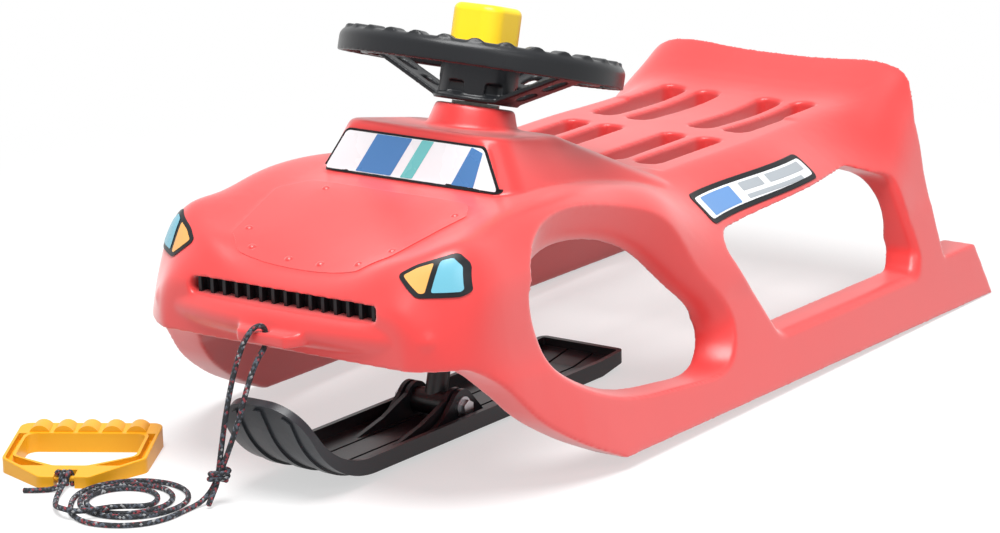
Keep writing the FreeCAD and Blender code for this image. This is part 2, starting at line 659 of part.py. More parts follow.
def body_shell(panels):
    skin = outer_skin(0)
    shell = skin.multiFuse([cabin(0)] + bonnet_panel(skin))
    shell = shell.cut(front_sweep())
    shell = shell.multiFuse([front_lip(), tow_block()])
    plinth_low = plinth_top() - PLINTH_HEIGHT
    plinth_foot = on_axis(plinth_low)
    plinth = Part.makeCone(PLINTH_FOOT_RADIUS, PLINTH_TOP_RADIUS, PLINTH_HEIGHT, plinth_foot, STEER_AXIS)
    shell = shell.fuse(plinth)
    shell = shell.cut(tunnel())
    shell = shell.cut(cabin(CABIN_WALL))
    shell = shell.fuse(axis_cylinder(BOSS_RADIUS, boss_low(), plinth_top()))
    shell = shell.cut(axis_cylinder(BUSH_RADIUS, boss_low() - OVERRUN, 0))
    openings = [rear_cut(), intake_cut(), tow_hole(), seat_flat()] + slot_cuts()
    for side_cut in (arch_cut(), window_cut(), post_scoop()):
        openings.append(side_cut)
        openings.append(mirrored(side_cut))
    for opening in openings + panels:
        shell = shell.cut(opening)
    return shell


# Thin panels let into the body
def windscreen_panel():
    foot_y = body_y(CABIN_FOOT_SHARES[0][1])
    roof_y = body_y(CABIN_ROOF_SHARES[0][1])
    slope = (roof_y - foot_y) / (CABIN_ROOF_Z - CABIN_FOOT_Z)
    foot = foot_y + slope * (SCREEN_FOOT_Z - CABIN_FOOT_Z)
    head = foot_y + slope * (SCREEN_HEAD_Z - CABIN_FOOT_Z)
    corners = [Vec(-SCREEN_FOOT_HALF, foot, SCREEN_FOOT_Z), Vec(SCREEN_FOOT_HALF, foot, SCREEN_FOOT_Z),
               Vec(SCREEN_HEAD_HALF, head, SCREEN_HEAD_Z), Vec(-SCREEN_HEAD_HALF, head, SCREEN_HEAD_Z)]
    inward = Vec(0, 1, -slope).normalize()
    return rounded_face(corners, SCREEN_CORNER).extrude(inward * DECAL_DEPTH)


def skin_layer():
    return outer_skin(0).cut(outer_skin(DECAL_DEPTH))


def headlight(layer):
    points = [Vec(body_x(x), NOSE_Y, body_z(z)) for x, z in LAMP_SHARES]
    outline = rounded_face(points, LAMP_CORNER)
    return largest(layer.common(outline.extrude(Vec(0, LAMP_REACH_SHARE * BODY_LENGTH, 0))))


def side_label(layer):
    corners = [Vec(body_x(LABEL_INNER_SHARE), body_y(y), body_z(z)) for y, z in LABEL_SHARES]
    return largest(layer.common(rounded_face(corners, LABEL_CORNER).extrude(Vec(HALF_WIDTH, 0, 0))))


def largest(shape):
    return max(shape.Solids, key=lambda solid: solid.Volume)


def intake_grille():
    """A dark insert in the air intake: a back plate with upright slats."""
    low = INTAKE_LOW_Z + SEAT_GAP
    tall = INTAKE_HIGH_Z - INTAKE_LOW_Z - 2 * SEAT_GAP
    half = INTAKE_HALF - INTAKE_CORNER
    pieces = [Part.makeBox(2 * half, GRILLE_PLATE, tall, Vec(-half, INTAKE_BACK_Y - GRILLE_PLATE, low))]
    step = (2 * half - GRILLE_SLAT) / (GRILLE_SLATS - 1)
    for index in range(GRILLE_SLATS):
        corner = Vec(index * step - half, INTAKE_BACK_Y - GRILLE_PLATE - GRILLE_DEPTH, low)
        pieces.append(Part.makeBox(GRILLE_SLAT, GRILLE_DEPTH, tall, corner))
    return fused(pieces)


# Steering column and its bearings
def column_bush(seat, up):
    """A flanged bush: the sleeve sits in the body's boss and the flange outside it."""
    sleeve_low = seat - BUSH_LENGTH if up else seat
    flange_low = seat if up else seat - BUSH_FLANGE
    sleeve = axis_cylinder(BUSH_RADIUS, sleeve_low, sleeve_low + BUSH_LENGTH)
    flange = axis_cylinder(BUSH_FLANGE_RADIUS, flange_low, flange_low + BUSH_FLANGE)
    bore = axis_cylinder(COLUMN_RADIUS + RUN_GAP, seat - OVERRUN, seat + OVERRUN)
    return fused([sleeve, flange]).cut(bore)


def retainer_height():
    return boss_low() - BUSH_FLANGE - SEAT_GAP - WASHER_THICK - RETAINER_RADIUS


def retaining_pin():
    start = on_axis(retainer_height()) - Vec(RETAINER_LENGTH / 2, 0, 0)
    return Part.makeCylinder(RETAINER_RADIUS, RETAINER_LENGTH, start, Vec(1, 0, 0))


def thrust_washer():
    low = boss_low() - BUSH_FLANGE - SEAT_GAP - WASHER_THICK
    ring = axis_cylinder(BUSH_FLANGE_RADIUS, low, low + WASHER_THICK)
    return ring.cut(axis_cylinder(COLUMN_RADIUS, low - OVERRUN, low + OVERRUN))


def column_top():
    return -HUB_FLOOR - HUB_CAP


def steering_column():
    """A tube with a plugged top, a cross tube at its foot for the ski bolt and a hole for the pin."""
    tube = axis_cylinder(COLUMN_RADIUS, -PIVOT_REACH, column_top())
    half = EAR_INNER - SEAT_GAP
    cross = Part.makeCylinder(CROSS_RADIUS, 2 * half, PIVOT_POINT - Vec(half, 0, 0), Vec(1, 0, 0))
    bore = axis_cylinder(COLUMN_BORE, -PIVOT_REACH, column_top() - COLUMN_PLUG)
    bolt_start = PIVOT_POINT - Vec(EAR_INNER, 0, 0)
    bolt = Part.makeCylinder(BOLT_RADIUS + RUN_GAP, 2 * EAR_INNER, bolt_start, Vec(1, 0, 0))
    screw = axis_cylinder(SCREW_RADIUS, column_top() - SCREW_LENGTH, column_top())
    column = fused([tube.cut(bore), cross])
    return column.cut(bolt).cut(screw).cut(retaining_pin())


# Steering wheel, drawn about a vertical axis through its centre
def ring(outer, inner, low, high):
    foot = Vec(0, 0, low)
    return Part.makeCylinder(outer, high - low, foot).cut(Part.makeCylinder(inner, high - low, foot))


def rim():
    """The rim: a rounded channel, open below, with webs inside it and grip bumps on top."""
    inner = RIM_RADIUS - RIM_WIDTH
    low = RIM_TOP - RIM_DEPTH
    block = ring(RIM_RADIUS, inner, low, RIM_TOP)
    top_edges = [edge for edge in block.Edges if edge.BoundBox.ZMin > RIM_TOP - SEAT_GAP]
    block = block.makeFillet(RIM_ROUND, top_edges)
    channel = ring(RIM_RADIUS - RIM_WALL, inner + RIM_WALL, low, RIM_TOP - RIM_ROUND)
    pieces = [block.cut(channel)]
    for index in range(RIM_RIBS):
        web = Part.makeBox(RIM_WIDTH - RIM_WALL, RIM_RIB_THICK, RIM_DEPTH - RIM_ROUND - RIM_WALL,
                           Vec(inner + RIM_WALL / 2, -RIM_RIB_THICK / 2, low + RIM_WALL))
        web.rotate(Vec(0, 0, 0), Vec(0, 0, 1), index * 360.0 / RIM_RIBS)
        pieces.append(web)
    for index in range(GRIP_BUMPS):
        start = Vec(inner + (RIM_WIDTH - GRIP_BUMP_LENGTH) / 2, 0, RIM_TOP + GRIP_BUMP_RISE - GRIP_BUMP_RADIUS)
        bump = Part.makeCylinder(GRIP_BUMP_RADIUS, GRIP_BUMP_LENGTH, start, Vec(1, 0, 0))
        above = Vec(0, -RIM_WIDTH, RIM_TOP - RIM_ROUND / 2)
        bump = bump.common(Part.makeBox(RIM_RADIUS, 2 * RIM_WIDTH, RIM_DEPTH, above))
        bump.rotate(Vec(0, 0, 0), Vec(0, 0, 1), (index + SHIFT_SHARE) * 360.0 / GRIP_BUMPS)
        pieces.append(bump)
    whole = fused(pieces)
    whole.rotate(Vec(0, 0, 0), Vec(1, 0, 0), -RIM_RAKE)
    return whole


def spoke(angle):
    """A flat spoke with oval holes, from the hub's foot up to the inside of the rim."""
    inner = RIM_RADIUS - RIM_WIDTH
    foot = Vec(HUB_RADIUS - HUB_WALL, 0, -HUB_DROP)
    head = Vec(inner + RIM_WALL / 2, 0, RIM_TOP - RIM_DEPTH + RIM_WALL)
    run = head - foot
    plate = polygon_face([foot, head, head + Vec(0, 0, SPOKE_THICK), foot + Vec(0, 0, SPOKE_THICK)])
    plate = plate.extrude(Vec(0, SPOKE_WIDTH, 0))
    plate.translate(Vec(0, -SPOKE_WIDTH / 2, 0))
    for share, length in zip(SPOKE_HOLE_SHARES, SPOKE_HOLE_LENGTHS):
        middle = foot + run * share
        corners = [middle + Vec(x * length / 2, y * SPOKE_HOLE_WIDTH / 2, -SPOKE_THICK)
                   for x, y in ((-1, -1), (1, -1), (1, 1), (-1, 1))]
        hole = rounded_face(corners, SPOKE_HOLE_WIDTH * SPOKE_HOLE_ROUND_SHARE)
        plate = plate.cut(hole.extrude(Vec(0, 0, 3 * SPOKE_THICK)))
    plate.rotate(Vec(0, 0, 0), Vec(0, 0, 1), angle)
    return plate


def hub():
    """The hub tower, open above for the horn, with a socket below for the column."""
    tower = Part.makeCylinder(HUB_RADIUS, HUB_DROP + HUB_TOP, Vec(0, 0, -HUB_DROP))
    foot = Part.makeCylinder(HUB_FOOT_RADIUS, HUB_FOOT_THICK, Vec(0, 0, -HUB_DROP))
    tower = fused([tower, foot])
    for index in range(HUB_POCKETS):
        corner = Vec(HUB_RADIUS - HUB_POCKET_DEPTH, -HUB_POCKET_WIDTH / 2, HUB_POCKET_MARGIN - HUB_DROP)
        pocket = Part.makeBox(HUB_POCKET_DEPTH, HUB_POCKET_WIDTH, HUB_FLOOR - HUB_POCKET_MARGIN, corner)
        pocket.rotate(Vec(0, 0, 0), Vec(0, 0, 1), (index + SHIFT_SHARE) * 360.0 / HUB_POCKETS)
        tower = tower.cut(pocket)
    cavity = Part.makeCylinder(HUB_RADIUS - HUB_WALL, HUB_FLOOR + HUB_TOP, Vec(0, 0, -HUB_FLOOR))
    socket = Part.makeCylinder(COLUMN_RADIUS, HUB_DROP + column_top(), Vec(0, 0, -HUB_DROP))
    screw = Part.makeCylinder(SCREW_RADIUS, HUB_DROP, Vec(0, 0, -HUB_DROP))
    return tower.cut(cavity).cut(socket).cut(screw)


def steering_wheel():
    centre = hub()
    clear = Part.makeCylinder(HUB_RADIUS - HUB_WALL / 2, HUB_DROP + RIM_RADIUS, Vec(0, 0, -HUB_DROP))
    spokes = [spoke(angle).cut(clear) for angle in SPOKE_ANGLES]
    return fused([centre, rim()] + spokes)


def wheel_washer():
    return ring(SCREW_HEAD_RADIUS + WASHER_THICK, SCREW_RADIUS, -HUB_FLOOR, WASHER_THICK - HUB_FLOOR)


def hex_prism(radius, thick, base, direction):
    """A hexagonal head, standing on its base point along a direction."""
    turns = [math.radians(60 * side) for side in range(6)]
    flat = [Vec(radius * math.cos(turn), radius * math.sin(turn), 0) for turn in turns]
    head = polygon_face(flat).extrude(Vec(0, 0, thick))
    head.Placement = FreeCAD.Placement(base, FreeCAD.Rotation(Vec(0, 0, 1), direction))
    return head


def wheel_screw():
    seat = WASHER_THICK - HUB_FLOOR
    head = hex_prism(SCREW_HEAD_RADIUS, SCREW_HEAD_THICK, Vec(0, 0, seat), Vec(0, 0, 1))
    low = column_top() - SCREW_LENGTH
    shank = Part.makeCylinder(SCREW_RADIUS, seat - low, Vec(0, 0, low))
    return fused([head, shank])


def horn_squeaker():
    """The soft bellows under the horn button, standing on the hub floor round the screw."""
    tall = HORN_TOP - HORN_WALL - HORN_TRAVEL - SEAT_GAP + HUB_FLOOR
    bellows = Part.makeCylinder(SQUEAKER_RADIUS, tall, Vec(0, 0, -HUB_FLOOR))
    room_tall = SCREW_HEAD_THICK + 2 * WASHER_THICK
    room = Part.makeCylinder(SQUEAKER_RADIUS - SQUEAKER_WALL, room_tall, Vec(0, 0, -HUB_FLOOR))
    return bellows.cut(room)


def horn_button():
    """The yellow cap: a rounded square with a soft top edge, hollow and open below."""
    def block(side, corner, low, high):
        half = side / 2
        points = [Vec(-half, -half, low), Vec(half, -half, low), Vec(half, half, low), Vec(-half, half, low)]
        return rounded_face(points, corner).extrude(Vec(0, 0, high - low))
    low = HORN_TRAVEL + 2 * SEAT_GAP - HUB_FLOOR
    cap = block(HORN_SIDE, HORN_CORNER, low, HORN_TOP)
    cap = cap.makeFillet(HORN_EDGE, [edge for edge in cap.Edges if edge.BoundBox.ZMin > HORN_TOP - SEAT_GAP])
    return cap.cut(block(HORN_SIDE - 2 * HORN_WALL, HORN_CORNER - HORN_WALL, low, HORN_TOP - HORN_WALL))


# Front ski, drawn level in the body's frame with its keels at z = 0, and then lowered by the drop
def ski_line(rises):
    """Side profile, raised off the keels: tail, heel, bend start, bend middle, bend end and tip."""
    tail, heel, start, middle, end = rises
    angle = math.radians(SKI_BEND_ANGLE)
    bend_y = SKI_TIP_Y + SKI_BEND_RADIUS * math.sin(angle) + SKI_TIP_RUN * math.cos(angle)

    def at(turn, rise):
        radius = SKI_BEND_RADIUS - rise
        return Vec(0, bend_y - radius * math.sin(turn), SKI_BEND_RADIUS - radius * math.cos(turn))

    tip = at(angle, end) + Vec(0, -math.cos(angle), math.sin(angle)) * SKI_TIP_RUN
    return [Vec(0, SKI_TAIL_Y, SKI_TAIL_RISE + tail), Vec(0, SKI_TAIL_Y - SKI_TAIL_BEVEL, heel),
            at(0, start), at(angle / 2, middle), at(angle, end), tip]


def ski_strip(lows, highs, x, width):
    """A lengthwise strip of the ski between two side profiles, standing from x to x + width."""
    under = ski_line(lows)
    over = ski_line(highs)
    edges = []
    for line in (under, over):
        edges.append(Part.LineSegment(line[0], line[1]).toShape())
        edges.append(Part.LineSegment(line[1], line[2]).toShape())
        edges.append(Part.Arc(line[2], line[3], line[4]).toShape())
        edges.append(Part.LineSegment(line[4], line[5]).toShape())
    edges.append(Part.LineSegment(under[0], over[0]).toShape())
    edges.append(Part.LineSegment(under[5], over[5]).toShape())
    strip = Part.Face(Part.Wire(Part.__sortEdges__(edges))).extrude(Vec(width, 0, 0))
    strip.translate(Vec(x, 0, 0))
    return strip


def ski_trim(inset):
    """The outline that trims the ski: round across the upturned tip, and nearly square at the tail."""
    half = SKI_HALF - inset
    length = SKI_TAIL_Y - SKI_TIP_Y
    angle = math.radians(SKI_BEND_ANGLE)
    up = Vec(0, -math.cos(angle), math.sin(angle))
    across = Vec(0, math.sin(angle), math.cos(angle))
    tip = ski_line((0,) * len(SKI_RIMS))[-1] - up * inset
    foot = tip - up * length
    corners = [tip - Vec(half, 0, 0), tip + Vec(half, 0, 0), foot + Vec(half, 0, 0), foot - Vec(half, 0, 0)]
    tip_face = rounded_face([corner - across * OVERRUN for corner in corners], SKI_TIP_CORNER - inset)
    rear = SKI_TAIL_Y - inset
    plan = [Vec(-half, rear - 2 * length, -OVERRUN), Vec(half, rear - 2 * length, -OVERRUN),
            Vec(half, rear, -OVERRUN), Vec(-half, rear, -OVERRUN)]
    plan_face = rounded_face(plan, SKI_TAIL_CORNER - inset)
    return tip_face.extrude(across * 2 * length).common(plan_face.extrude(Vec(0, 0, length)))


def ski_ear(inner, gusset):
    """One pivot plate: an eye on a foot, with a gusset running forward."""
    pivot = PIVOT_POINT + Vec(0, 0, SKI_DROP)
    flank = EAR_RADIUS * EAR_FLANK_SHARE
    shoulder = pivot.z + EAR_RADIUS / 2
    low = KEEL_DEPTH + SKI_THICK / 2
    profile = [Vec(inner, pivot.y + EAR_FOOT / 2, low), Vec(inner, pivot.y + flank, shoulder),
               Vec(inner, pivot.y - flank, shoulder),
               Vec(inner, pivot.y - gusset / 2, pivot.z * GUSSET_MID_SHARE),
               Vec(inner, pivot.y - gusset, low)]
    plate = polygon_face(profile).extrude(Vec(EAR_THICK, 0, 0))
    eye = Part.makeCylinder(EAR_RADIUS, EAR_THICK, Vec(inner, pivot.y, pivot.z), Vec(1, 0, 0))
    hole = Part.makeCylinder(BOLT_RADIUS, EAR_THICK, Vec(inner, pivot.y, pivot.z), Vec(1, 0, 0))
    return fused([plate, eye]).cut(hole)


def front_ski():
    """A blade with a rim all round, keels below, grooves in its floor and two pairs of pivot plates."""
    floor = KEEL_DEPTH + SKI_THICK
    beyond = [rise + SKI_FLANGE for rise in SKI_RIMS]
    level = len(SKI_RIMS)
    blade = ski_strip((KEEL_DEPTH,) * level, SKI_RIMS, -SKI_HALF, 2 * SKI_HALF).common(ski_trim(0))
    inside = ski_strip((floor,) * level, beyond, -SKI_HALF, 2 * SKI_HALF).common(ski_trim(SKI_FLANGE_WALL))
    blade = blade.cut(inside)
    keels = []
    for share in KEEL_X_SHARES:
        left = share * SKI_HALF - KEEL_WIDTH / 2
        keel = ski_strip((0,) * level, (floor - SKI_GROOVE_DEPTH,) * level, left, KEEL_WIDTH)
        keels.append(keel.common(ski_trim(SKI_FLANGE_WALL)))
    blade = fused([blade] + keels)
    for share in SKI_GROOVE_X_SHARES:
        left = share * SKI_HALF - SKI_GROOVE_WIDTH / 2
        groove = ski_strip((floor - SKI_GROOVE_DEPTH,) * level, beyond, left, SKI_GROOVE_WIDTH)
        blade = blade.cut(groove.common(ski_trim(SKI_FLANGE_WALL)))
    plates = []
    for inner, gusset in zip((EAR_INNER, EAR_INNER + EAR_THICK + EAR_SPACE), EAR_GUSSET_LENGTHS):
        plates.append(ski_ear(inner, gusset))
        plates.append(mirrored(plates[-1]))
    return fused([blade] + plates)


def bolt_seat():
    return EAR_INNER + 2 * EAR_THICK + EAR_SPACE


def pivot_bolt():
    pivot = PIVOT_POINT + Vec(0, 0, SKI_DROP)
    seat = bolt_seat() + BOLT_WASHER
    head = hex_prism(BOLT_HEAD_RADIUS, BOLT_HEAD, pivot + Vec(seat, 0, 0), Vec(1, 0, 0))
    reach = seat + BOLT_WASHER + NUT_THICK + BOLT_STICKOUT + bolt_seat()
    shank = Part.makeCylinder(BOLT_RADIUS, reach, pivot + Vec(seat, 0, 0), Vec(-1, 0, 0))
    return fused([head, shank])


def pivot_nut():
    pivot = PIVOT_POINT + Vec(0, 0, SKI_DROP)
    seat = bolt_seat() + BOLT_WASHER
    nut = hex_prism(BOLT_HEAD_RADIUS, NUT_THICK, pivot - Vec(seat, 0, 0), Vec(-1, 0, 0))
    return nut.cut(Part.makeCylinder(BOLT_RADIUS, 2 * OVERRUN, pivot - Vec(2 * OVERRUN, 0, 0), Vec(1, 0, 0)))


def bolt_washers():
    pivot = PIVOT_POINT + Vec(0, 0, SKI_DROP)
    washers = []
    for x in (bolt_seat(), -bolt_seat() - BOLT_WASHER):
        start = pivot + Vec(x, 0, 0)
        disc = Part.makeCylinder(BOLT_WASHER_RADIUS, BOLT_WASHER, start, Vec(1, 0, 0))
        washers.append(disc.cut(Part.makeCylinder(BOLT_RADIUS, BOLT_WASHER, start, Vec(1, 0, 0))))
    return Part.makeCompound(washers)


# Tow cord
def route_edges(points):
    """Straight runs joined by tangent arcs; the arc at a corner uses nearly half of the shorter run."""
    edges = []
    radii = []
    last = points[0]
    for before, corner, after in zip(points, points[1:], points[2:]):
        back = before - corner
        ahead = after - corner
        shorter = min(back.Length, ahead.Length)
        half_turn = (math.pi - back.getAngle(ahead)) / 2
        reach = shorter * ARC_REACH_SHARE
        radius = reach / math.tan(half_turn)
        start = corner + back.normalize() * reach
        end = corner + ahead.normalize() * reach
        inward = (back + ahead).normalize()
        middle = corner + inward * (radius / math.cos(half_turn) - radius)
        edges.append(Part.LineSegment(last, start).toShape())
        edges.append(Part.Arc(start, middle, end).toShape())
        radii.append(radius)
        last = end
    edges.append(Part.LineSegment(last, points[-1]).toShape())
    return edges, radii


def sweep_cord(name, edges):
    """A round tube along tangent edges, checked against its section times its length."""
    spine = Part.Wire(edges)
    start = edges[0].valueAt(edges[0].FirstParameter)
    along = edges[0].tangentAt(edges[0].FirstParameter)
    section = Part.Wire([Part.Circle(start, along, CORD_RADIUS).toShape()])
    tube = spine.makePipeShell([section], True, False)
    expected = math.pi * CORD_RADIUS ** 2 * spine.Length
    print(name, "length", round(spine.Length), "volume over expected", round(tube.Volume / expected, 4))
    return tube


def coil_point(along, across):
    turn = math.radians(COIL_TURN)
    x = COIL_CENTRE[0] + along * math.cos(turn) + across * math.sin(turn)
    y = COIL_CENTRE[1] + along * math.sin(turn) - across * math.cos(turn)
    return Vec(x, y, CORD_RADIUS + FLOOR_GAP)


def half_loop(start, end, across):
    """Half a loop of the coil, between two places on its long axis."""
    crest = coil_point((start + end) / 2, across * abs(end - start) / 2)
    return Part.Arc(coil_point(start, 0), crest, coil_point(end, 0)).toShape()


def coil_edges():
    edges = []
    for index, left in enumerate(COIL_LEFTS):
        right = COIL_RIGHTS[index]
        edges.append(half_loop(left, right, -1))
        if index + 1 < len(COIL_LEFTS):
            edges.append(half_loop(right, COIL_LEFTS[index + 1], 1))
    last = coil_point(COIL_RIGHTS[-1], 0)
    leave = Part.Arc(last, exit_point(COIL_EXIT_TURN / 2), exit_point(COIL_EXIT_TURN))
    edges.append(leave.toShape())
    return edges


def exit_point(turn):
    """A place on the last arc of the coil, after turning some degrees from the right end."""
    radius = COIL_RIGHTS[-1] - COIL_EXIT
    return coil_point(COIL_EXIT + radius * math.cos(math.radians(turn)), radius * math.sin(math.radians(turn)))


def least_gap(edges, skip):
    """Smallest free space between strands of one cord, measured on points along it."""
    samples = []
    for edge in edges:
        samples.extend(edge.discretize(Distance=CORD_DIAMETER / 2)[:-1])
    best = OVERRUN
    for index, point in enumerate(samples):
        for other in samples[index + skip:]:
            best = min(best, point.distanceToPoint(other))
    return best - CORD_DIAMETER


def tow_cord():
    """The long run of the tow cord: the lead from the knot, three loops on the floor and the end."""
    lead_points = [Vec(*point) for point in LEAD_ROUTE]
    lead_points += [coil_point(COIL_LEFTS[0], LEAD_STRAIGHT), coil_point(COIL_LEFTS[0], 0)]
    lead, lead_radii = route_edges(lead_points)
    coil = coil_edges()
    leave = coil[-1].tangentAt(coil[-1].LastParameter)
    end_points = [exit_point(COIL_EXIT_TURN), exit_point(COIL_EXIT_TURN) + leave * END_STRAIGHT]
    for along, across, height in END_ROUTE:
        floor_point = coil_point(along, across)
        end_points.append(Vec(floor_point.x, floor_point.y, height))
    end, end_radii = route_edges(end_points)
    edges = lead + coil + end
    print("tow cord radii", [round(radius, 1) for radius in lead_radii + end_radii])
    print("tow cord least gap", round(least_gap(edges, COIL_SKIP), 2))
    return sweep_cord("tow cord", edges)


def simple_cord(name, route):
    edges, radii = route_edges([Vec(*point) for point in route])
    print(name, "radii", [round(radius, 1) for radius in radii])
    return sweep_cord(name, edges)


def knot(centre, radius, direction):
    """A tight overhand knot, drawn as a core with cord wraps round it."""
    middle = Vec(*centre)
    along = Vec(*direction).normalize()
    core = Part.makeCylinder(radius, KNOT_LENGTH, middle - along * (KNOT_LENGTH / 2), along)
    wraps = [core]
    step = KNOT_LENGTH / KNOT_WRAPS
    for index in range(KNOT_WRAPS):
        place = middle + along * ((index + SHIFT_SHARE) * step - KNOT_LENGTH / 2)
        wraps.append(Part.makeTorus(radius, CORD_RADIUS, place, along))
    return fused(wraps)


# Tow handle
def handle_face(half, back, side, reach, boss_half):
    points = [Vec(-half, back, 0), Vec(half, back, 0), Vec(half, -side, 0),
              Vec(boss_half, -reach, 0), Vec(-boss_half, -reach, 0), Vec(-half, -side, 0)]
    return rounded_face(points, HANDLE_CORNER)


def handle_above(drop):
    """The space above the handle's sloping top, lowered by a drop."""
    x = -2 * OVERRUN
    front = -HANDLE_REACH - OVERRUN
    slope = (HANDLE_HEIGHT - HANDLE_BOSS_HEIGHT) / (HANDLE_BAR_BACK + HANDLE_REACH)
    back_z = HANDLE_HEIGHT - drop
    front_z = HANDLE_BOSS_HEIGHT - slope * OVERRUN - drop
    profile = [Vec(x, HANDLE_BAR_BACK, back_z), Vec(x, front, front_z),
               Vec(x, front, back_z + OVERRUN), Vec(x, HANDLE_BAR_BACK, back_z + OVERRUN)]
    return polygon_face(profile).extrude(Vec(-2 * x, 0, 0))


def handle_inside(wall):
    """The hand opening, grown by a wall."""
    face = handle_face(HANDLE_HALF - HANDLE_RAIL + wall, HANDLE_BAR_BACK - HANDLE_BAR + wall,
                       HANDLE_SIDE - HANDLE_RAIL / 2, HANDLE_REACH - HANDLE_FRONT + wall,
                       HANDLE_BOSS_HALF - HANDLE_RAIL + HANDLE_BOSS_FLARE + wall)
    return face.extrude(Vec(0, 0, HANDLE_HEIGHT))


def handle_outside(wall):
    """The handle's outer outline, shrunk by a wall."""
    face = handle_face(HANDLE_HALF - wall, HANDLE_BAR_BACK - wall, HANDLE_SIDE, HANDLE_REACH - wall,
                       HANDLE_BOSS_HALF - wall)
    return face.extrude(Vec(0, 0, HANDLE_HEIGHT))


def tow_handle():
    """The hand grip: a six-sided channel frame with finger mounds over the bar and an eye for the cord."""
    frame = handle_outside(0).cut(handle_above(0))
    top_face = max(frame.Faces, key=lambda face: face.CenterOfMass.z)
    frame = frame.makeFillet(HANDLE_EDGE, top_face.Edges)
    frame = frame.cut(handle_inside(0))
    channel = handle_outside(HANDLE_WALL).cut(handle_inside(HANDLE_WALL))
    channel = channel.common(handle_above(HANDLE_GROOVE_DEPTH))
    bar_low = HANDLE_BAR_BACK - HANDLE_BAR
    rails = Part.makeBox(4 * OVERRUN, HANDLE_REACH - HANDLE_FRONT + bar_low, HANDLE_HEIGHT,
                         Vec(-2 * OVERRUN, HANDLE_FRONT - HANDLE_REACH, 0))
    frame = frame.cut(channel.common(rails))
    step = (2 * HANDLE_HALF - 2 * HANDLE_CORNER) / HANDLE_BUMPS
    mounds = []
    for index in range(HANDLE_BUMPS):
        x = (index - (HANDLE_BUMPS - 1) / 2) * step
        centre = Vec(x, bar_low + HANDLE_WALL, HANDLE_HEIGHT + HANDLE_BUMP_RISE - HANDLE_BUMP_RADIUS)
        mound = Part.makeCylinder(HANDLE_BUMP_RADIUS, HANDLE_BAR - 2 * HANDLE_WALL, centre, Vec(0, 1, 0))
        mounds.append(mound)
    notch = Part.makeBox(NOTCH_WIDTH, NOTCH_DEPTH, HANDLE_HEIGHT, Vec(-NOTCH_WIDTH / 2, -HANDLE_REACH, 0))
    handle = fused([fused([frame] + mounds).cut(notch), cross_bar(NOTCH_WIDTH, CROSS_BAR_RADIUS)])
    return handle_placed(handle)


def cross_bar(length, radius):
    """A round bar across the notch at the front of the handle."""
    start = Vec(-length / 2, CROSS_BAR_SETBACK - HANDLE_REACH, CROSS_BAR_Z)
    return Part.makeCylinder(radius, length, start, Vec(1, 0, 0))


def handle_placed(shape):
    placed = shape.copy()
    placed.rotate(Vec(0, 0, 0), Vec(0, 0, 1), HANDLE_TURN)
    placed.translate(Vec(HANDLE_BAR_CENTRE[0], HANDLE_BAR_CENTRE[1], 0))
    return placed


def handle_knot():
    """The cord's hitch: three wraps side by side round the handle's cross bar."""
    wraps = []
    for index in range(KNOT_WRAPS):
        place = Vec((index - (KNOT_WRAPS - 1) / 2) * WRAP_PITCH, CROSS_BAR_SETBACK - HANDLE_REACH, CROSS_BAR_Z)
        wraps.append(Part.makeTorus(CROSS_BAR_RADIUS + CORD_RADIUS, CORD_RADIUS, place, Vec(1, 0, 0)))
    return handle_placed(fused(wraps).cut(cross_bar(NOTCH_WIDTH, CROSS_BAR_RADIUS)))


def export(name, shape):
    print(name, "valid", shape.isValid(), "solids", len(shape.Solids), "volume", round(shape.Volume))
    shape.exportStep("parts/" + name + ".step")


def export_body():
    layer = skin_layer()
    near_lamp = headlight(layer)
    panels = {"windscreen_panel": windscreen_panel(), "left_headlight": near_lamp,
              "right_headlight": mirrored(near_lamp), "side_label": side_label(layer)}
    export("body_shell", pitched(body_shell(list(panels.values()))))
    for name, panel in panels.items():
        export(name, pitched(panel))
    export("intake_grille", pitched(intake_grille()))
    export("upper_column_bush", pitched(column_bush(plinth_top(), True)))
    export("lower_column_bush", pitched(column_bush(boss_low(), False)))


def export_steering():
    export("steering_column", pitched(steering_column()))
    export("retaining_pin", pitched(retaining_pin()))
    export("thrust_washer", pitched(thrust_washer()))
    turned = {"steering_wheel": steering_wheel(), "wheel_washer": wheel_washer(), "wheel_screw": wheel_screw(),
              "horn_squeaker": horn_squeaker(), "horn_button": horn_button()}
    for name, piece in turned.items():
        export(name, pitched(steered(piece)))


def export_ski():
    pieces = {"front_ski": front_ski(), "pivot_bolt": pivot_bolt(), "pivot_nut": pivot_nut(),
              "bolt_washers": bolt_washers()}
    for name, piece in pieces.items():
        piece.translate(Vec(0, 0, -SKI_DROP))
        export(name, pitched(piece))


def export_cord():
    export("tow_cord", tow_cord())
    export("tow_cord_loop", simple_cord("tow cord loop", LOOP_ROUTE))
    export("tow_knot_tail", simple_cord("tow knot tail", TAIL_ROUTE))
    export("handle_knot_tail", simple_cord("handle knot tail", FREE_ROUTE))
    export("tow_knot", knot(KNOT_CENTRE, KNOT_RADIUS, KNOT_LEAN))
    export("handle_knot", handle_knot())
    export("tow_handle", tow_handle())


def main():
    os.makedirs("parts", exist_ok=True)
    print("body pitch", round(BODY_PITCH, 3), "pivot", pitched_point(PIVOT_POINT))
    export_body()
    export_steering()
    export_ski()
    export_cord()


main()
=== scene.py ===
"""Looks of the steering sled round its CAD frame: studio, materials, tow cord, moulded skin and prints.

Metres, unless a heading says millimetres. +Z is up and the sled's front faces -Y.
"""
import json
import math

import bmesh
import bpy
from mathutils import Matrix, Vector
from mathutils.bvhtree import BVHTree
from mathutils.geometry import delaunay_2d_cdt


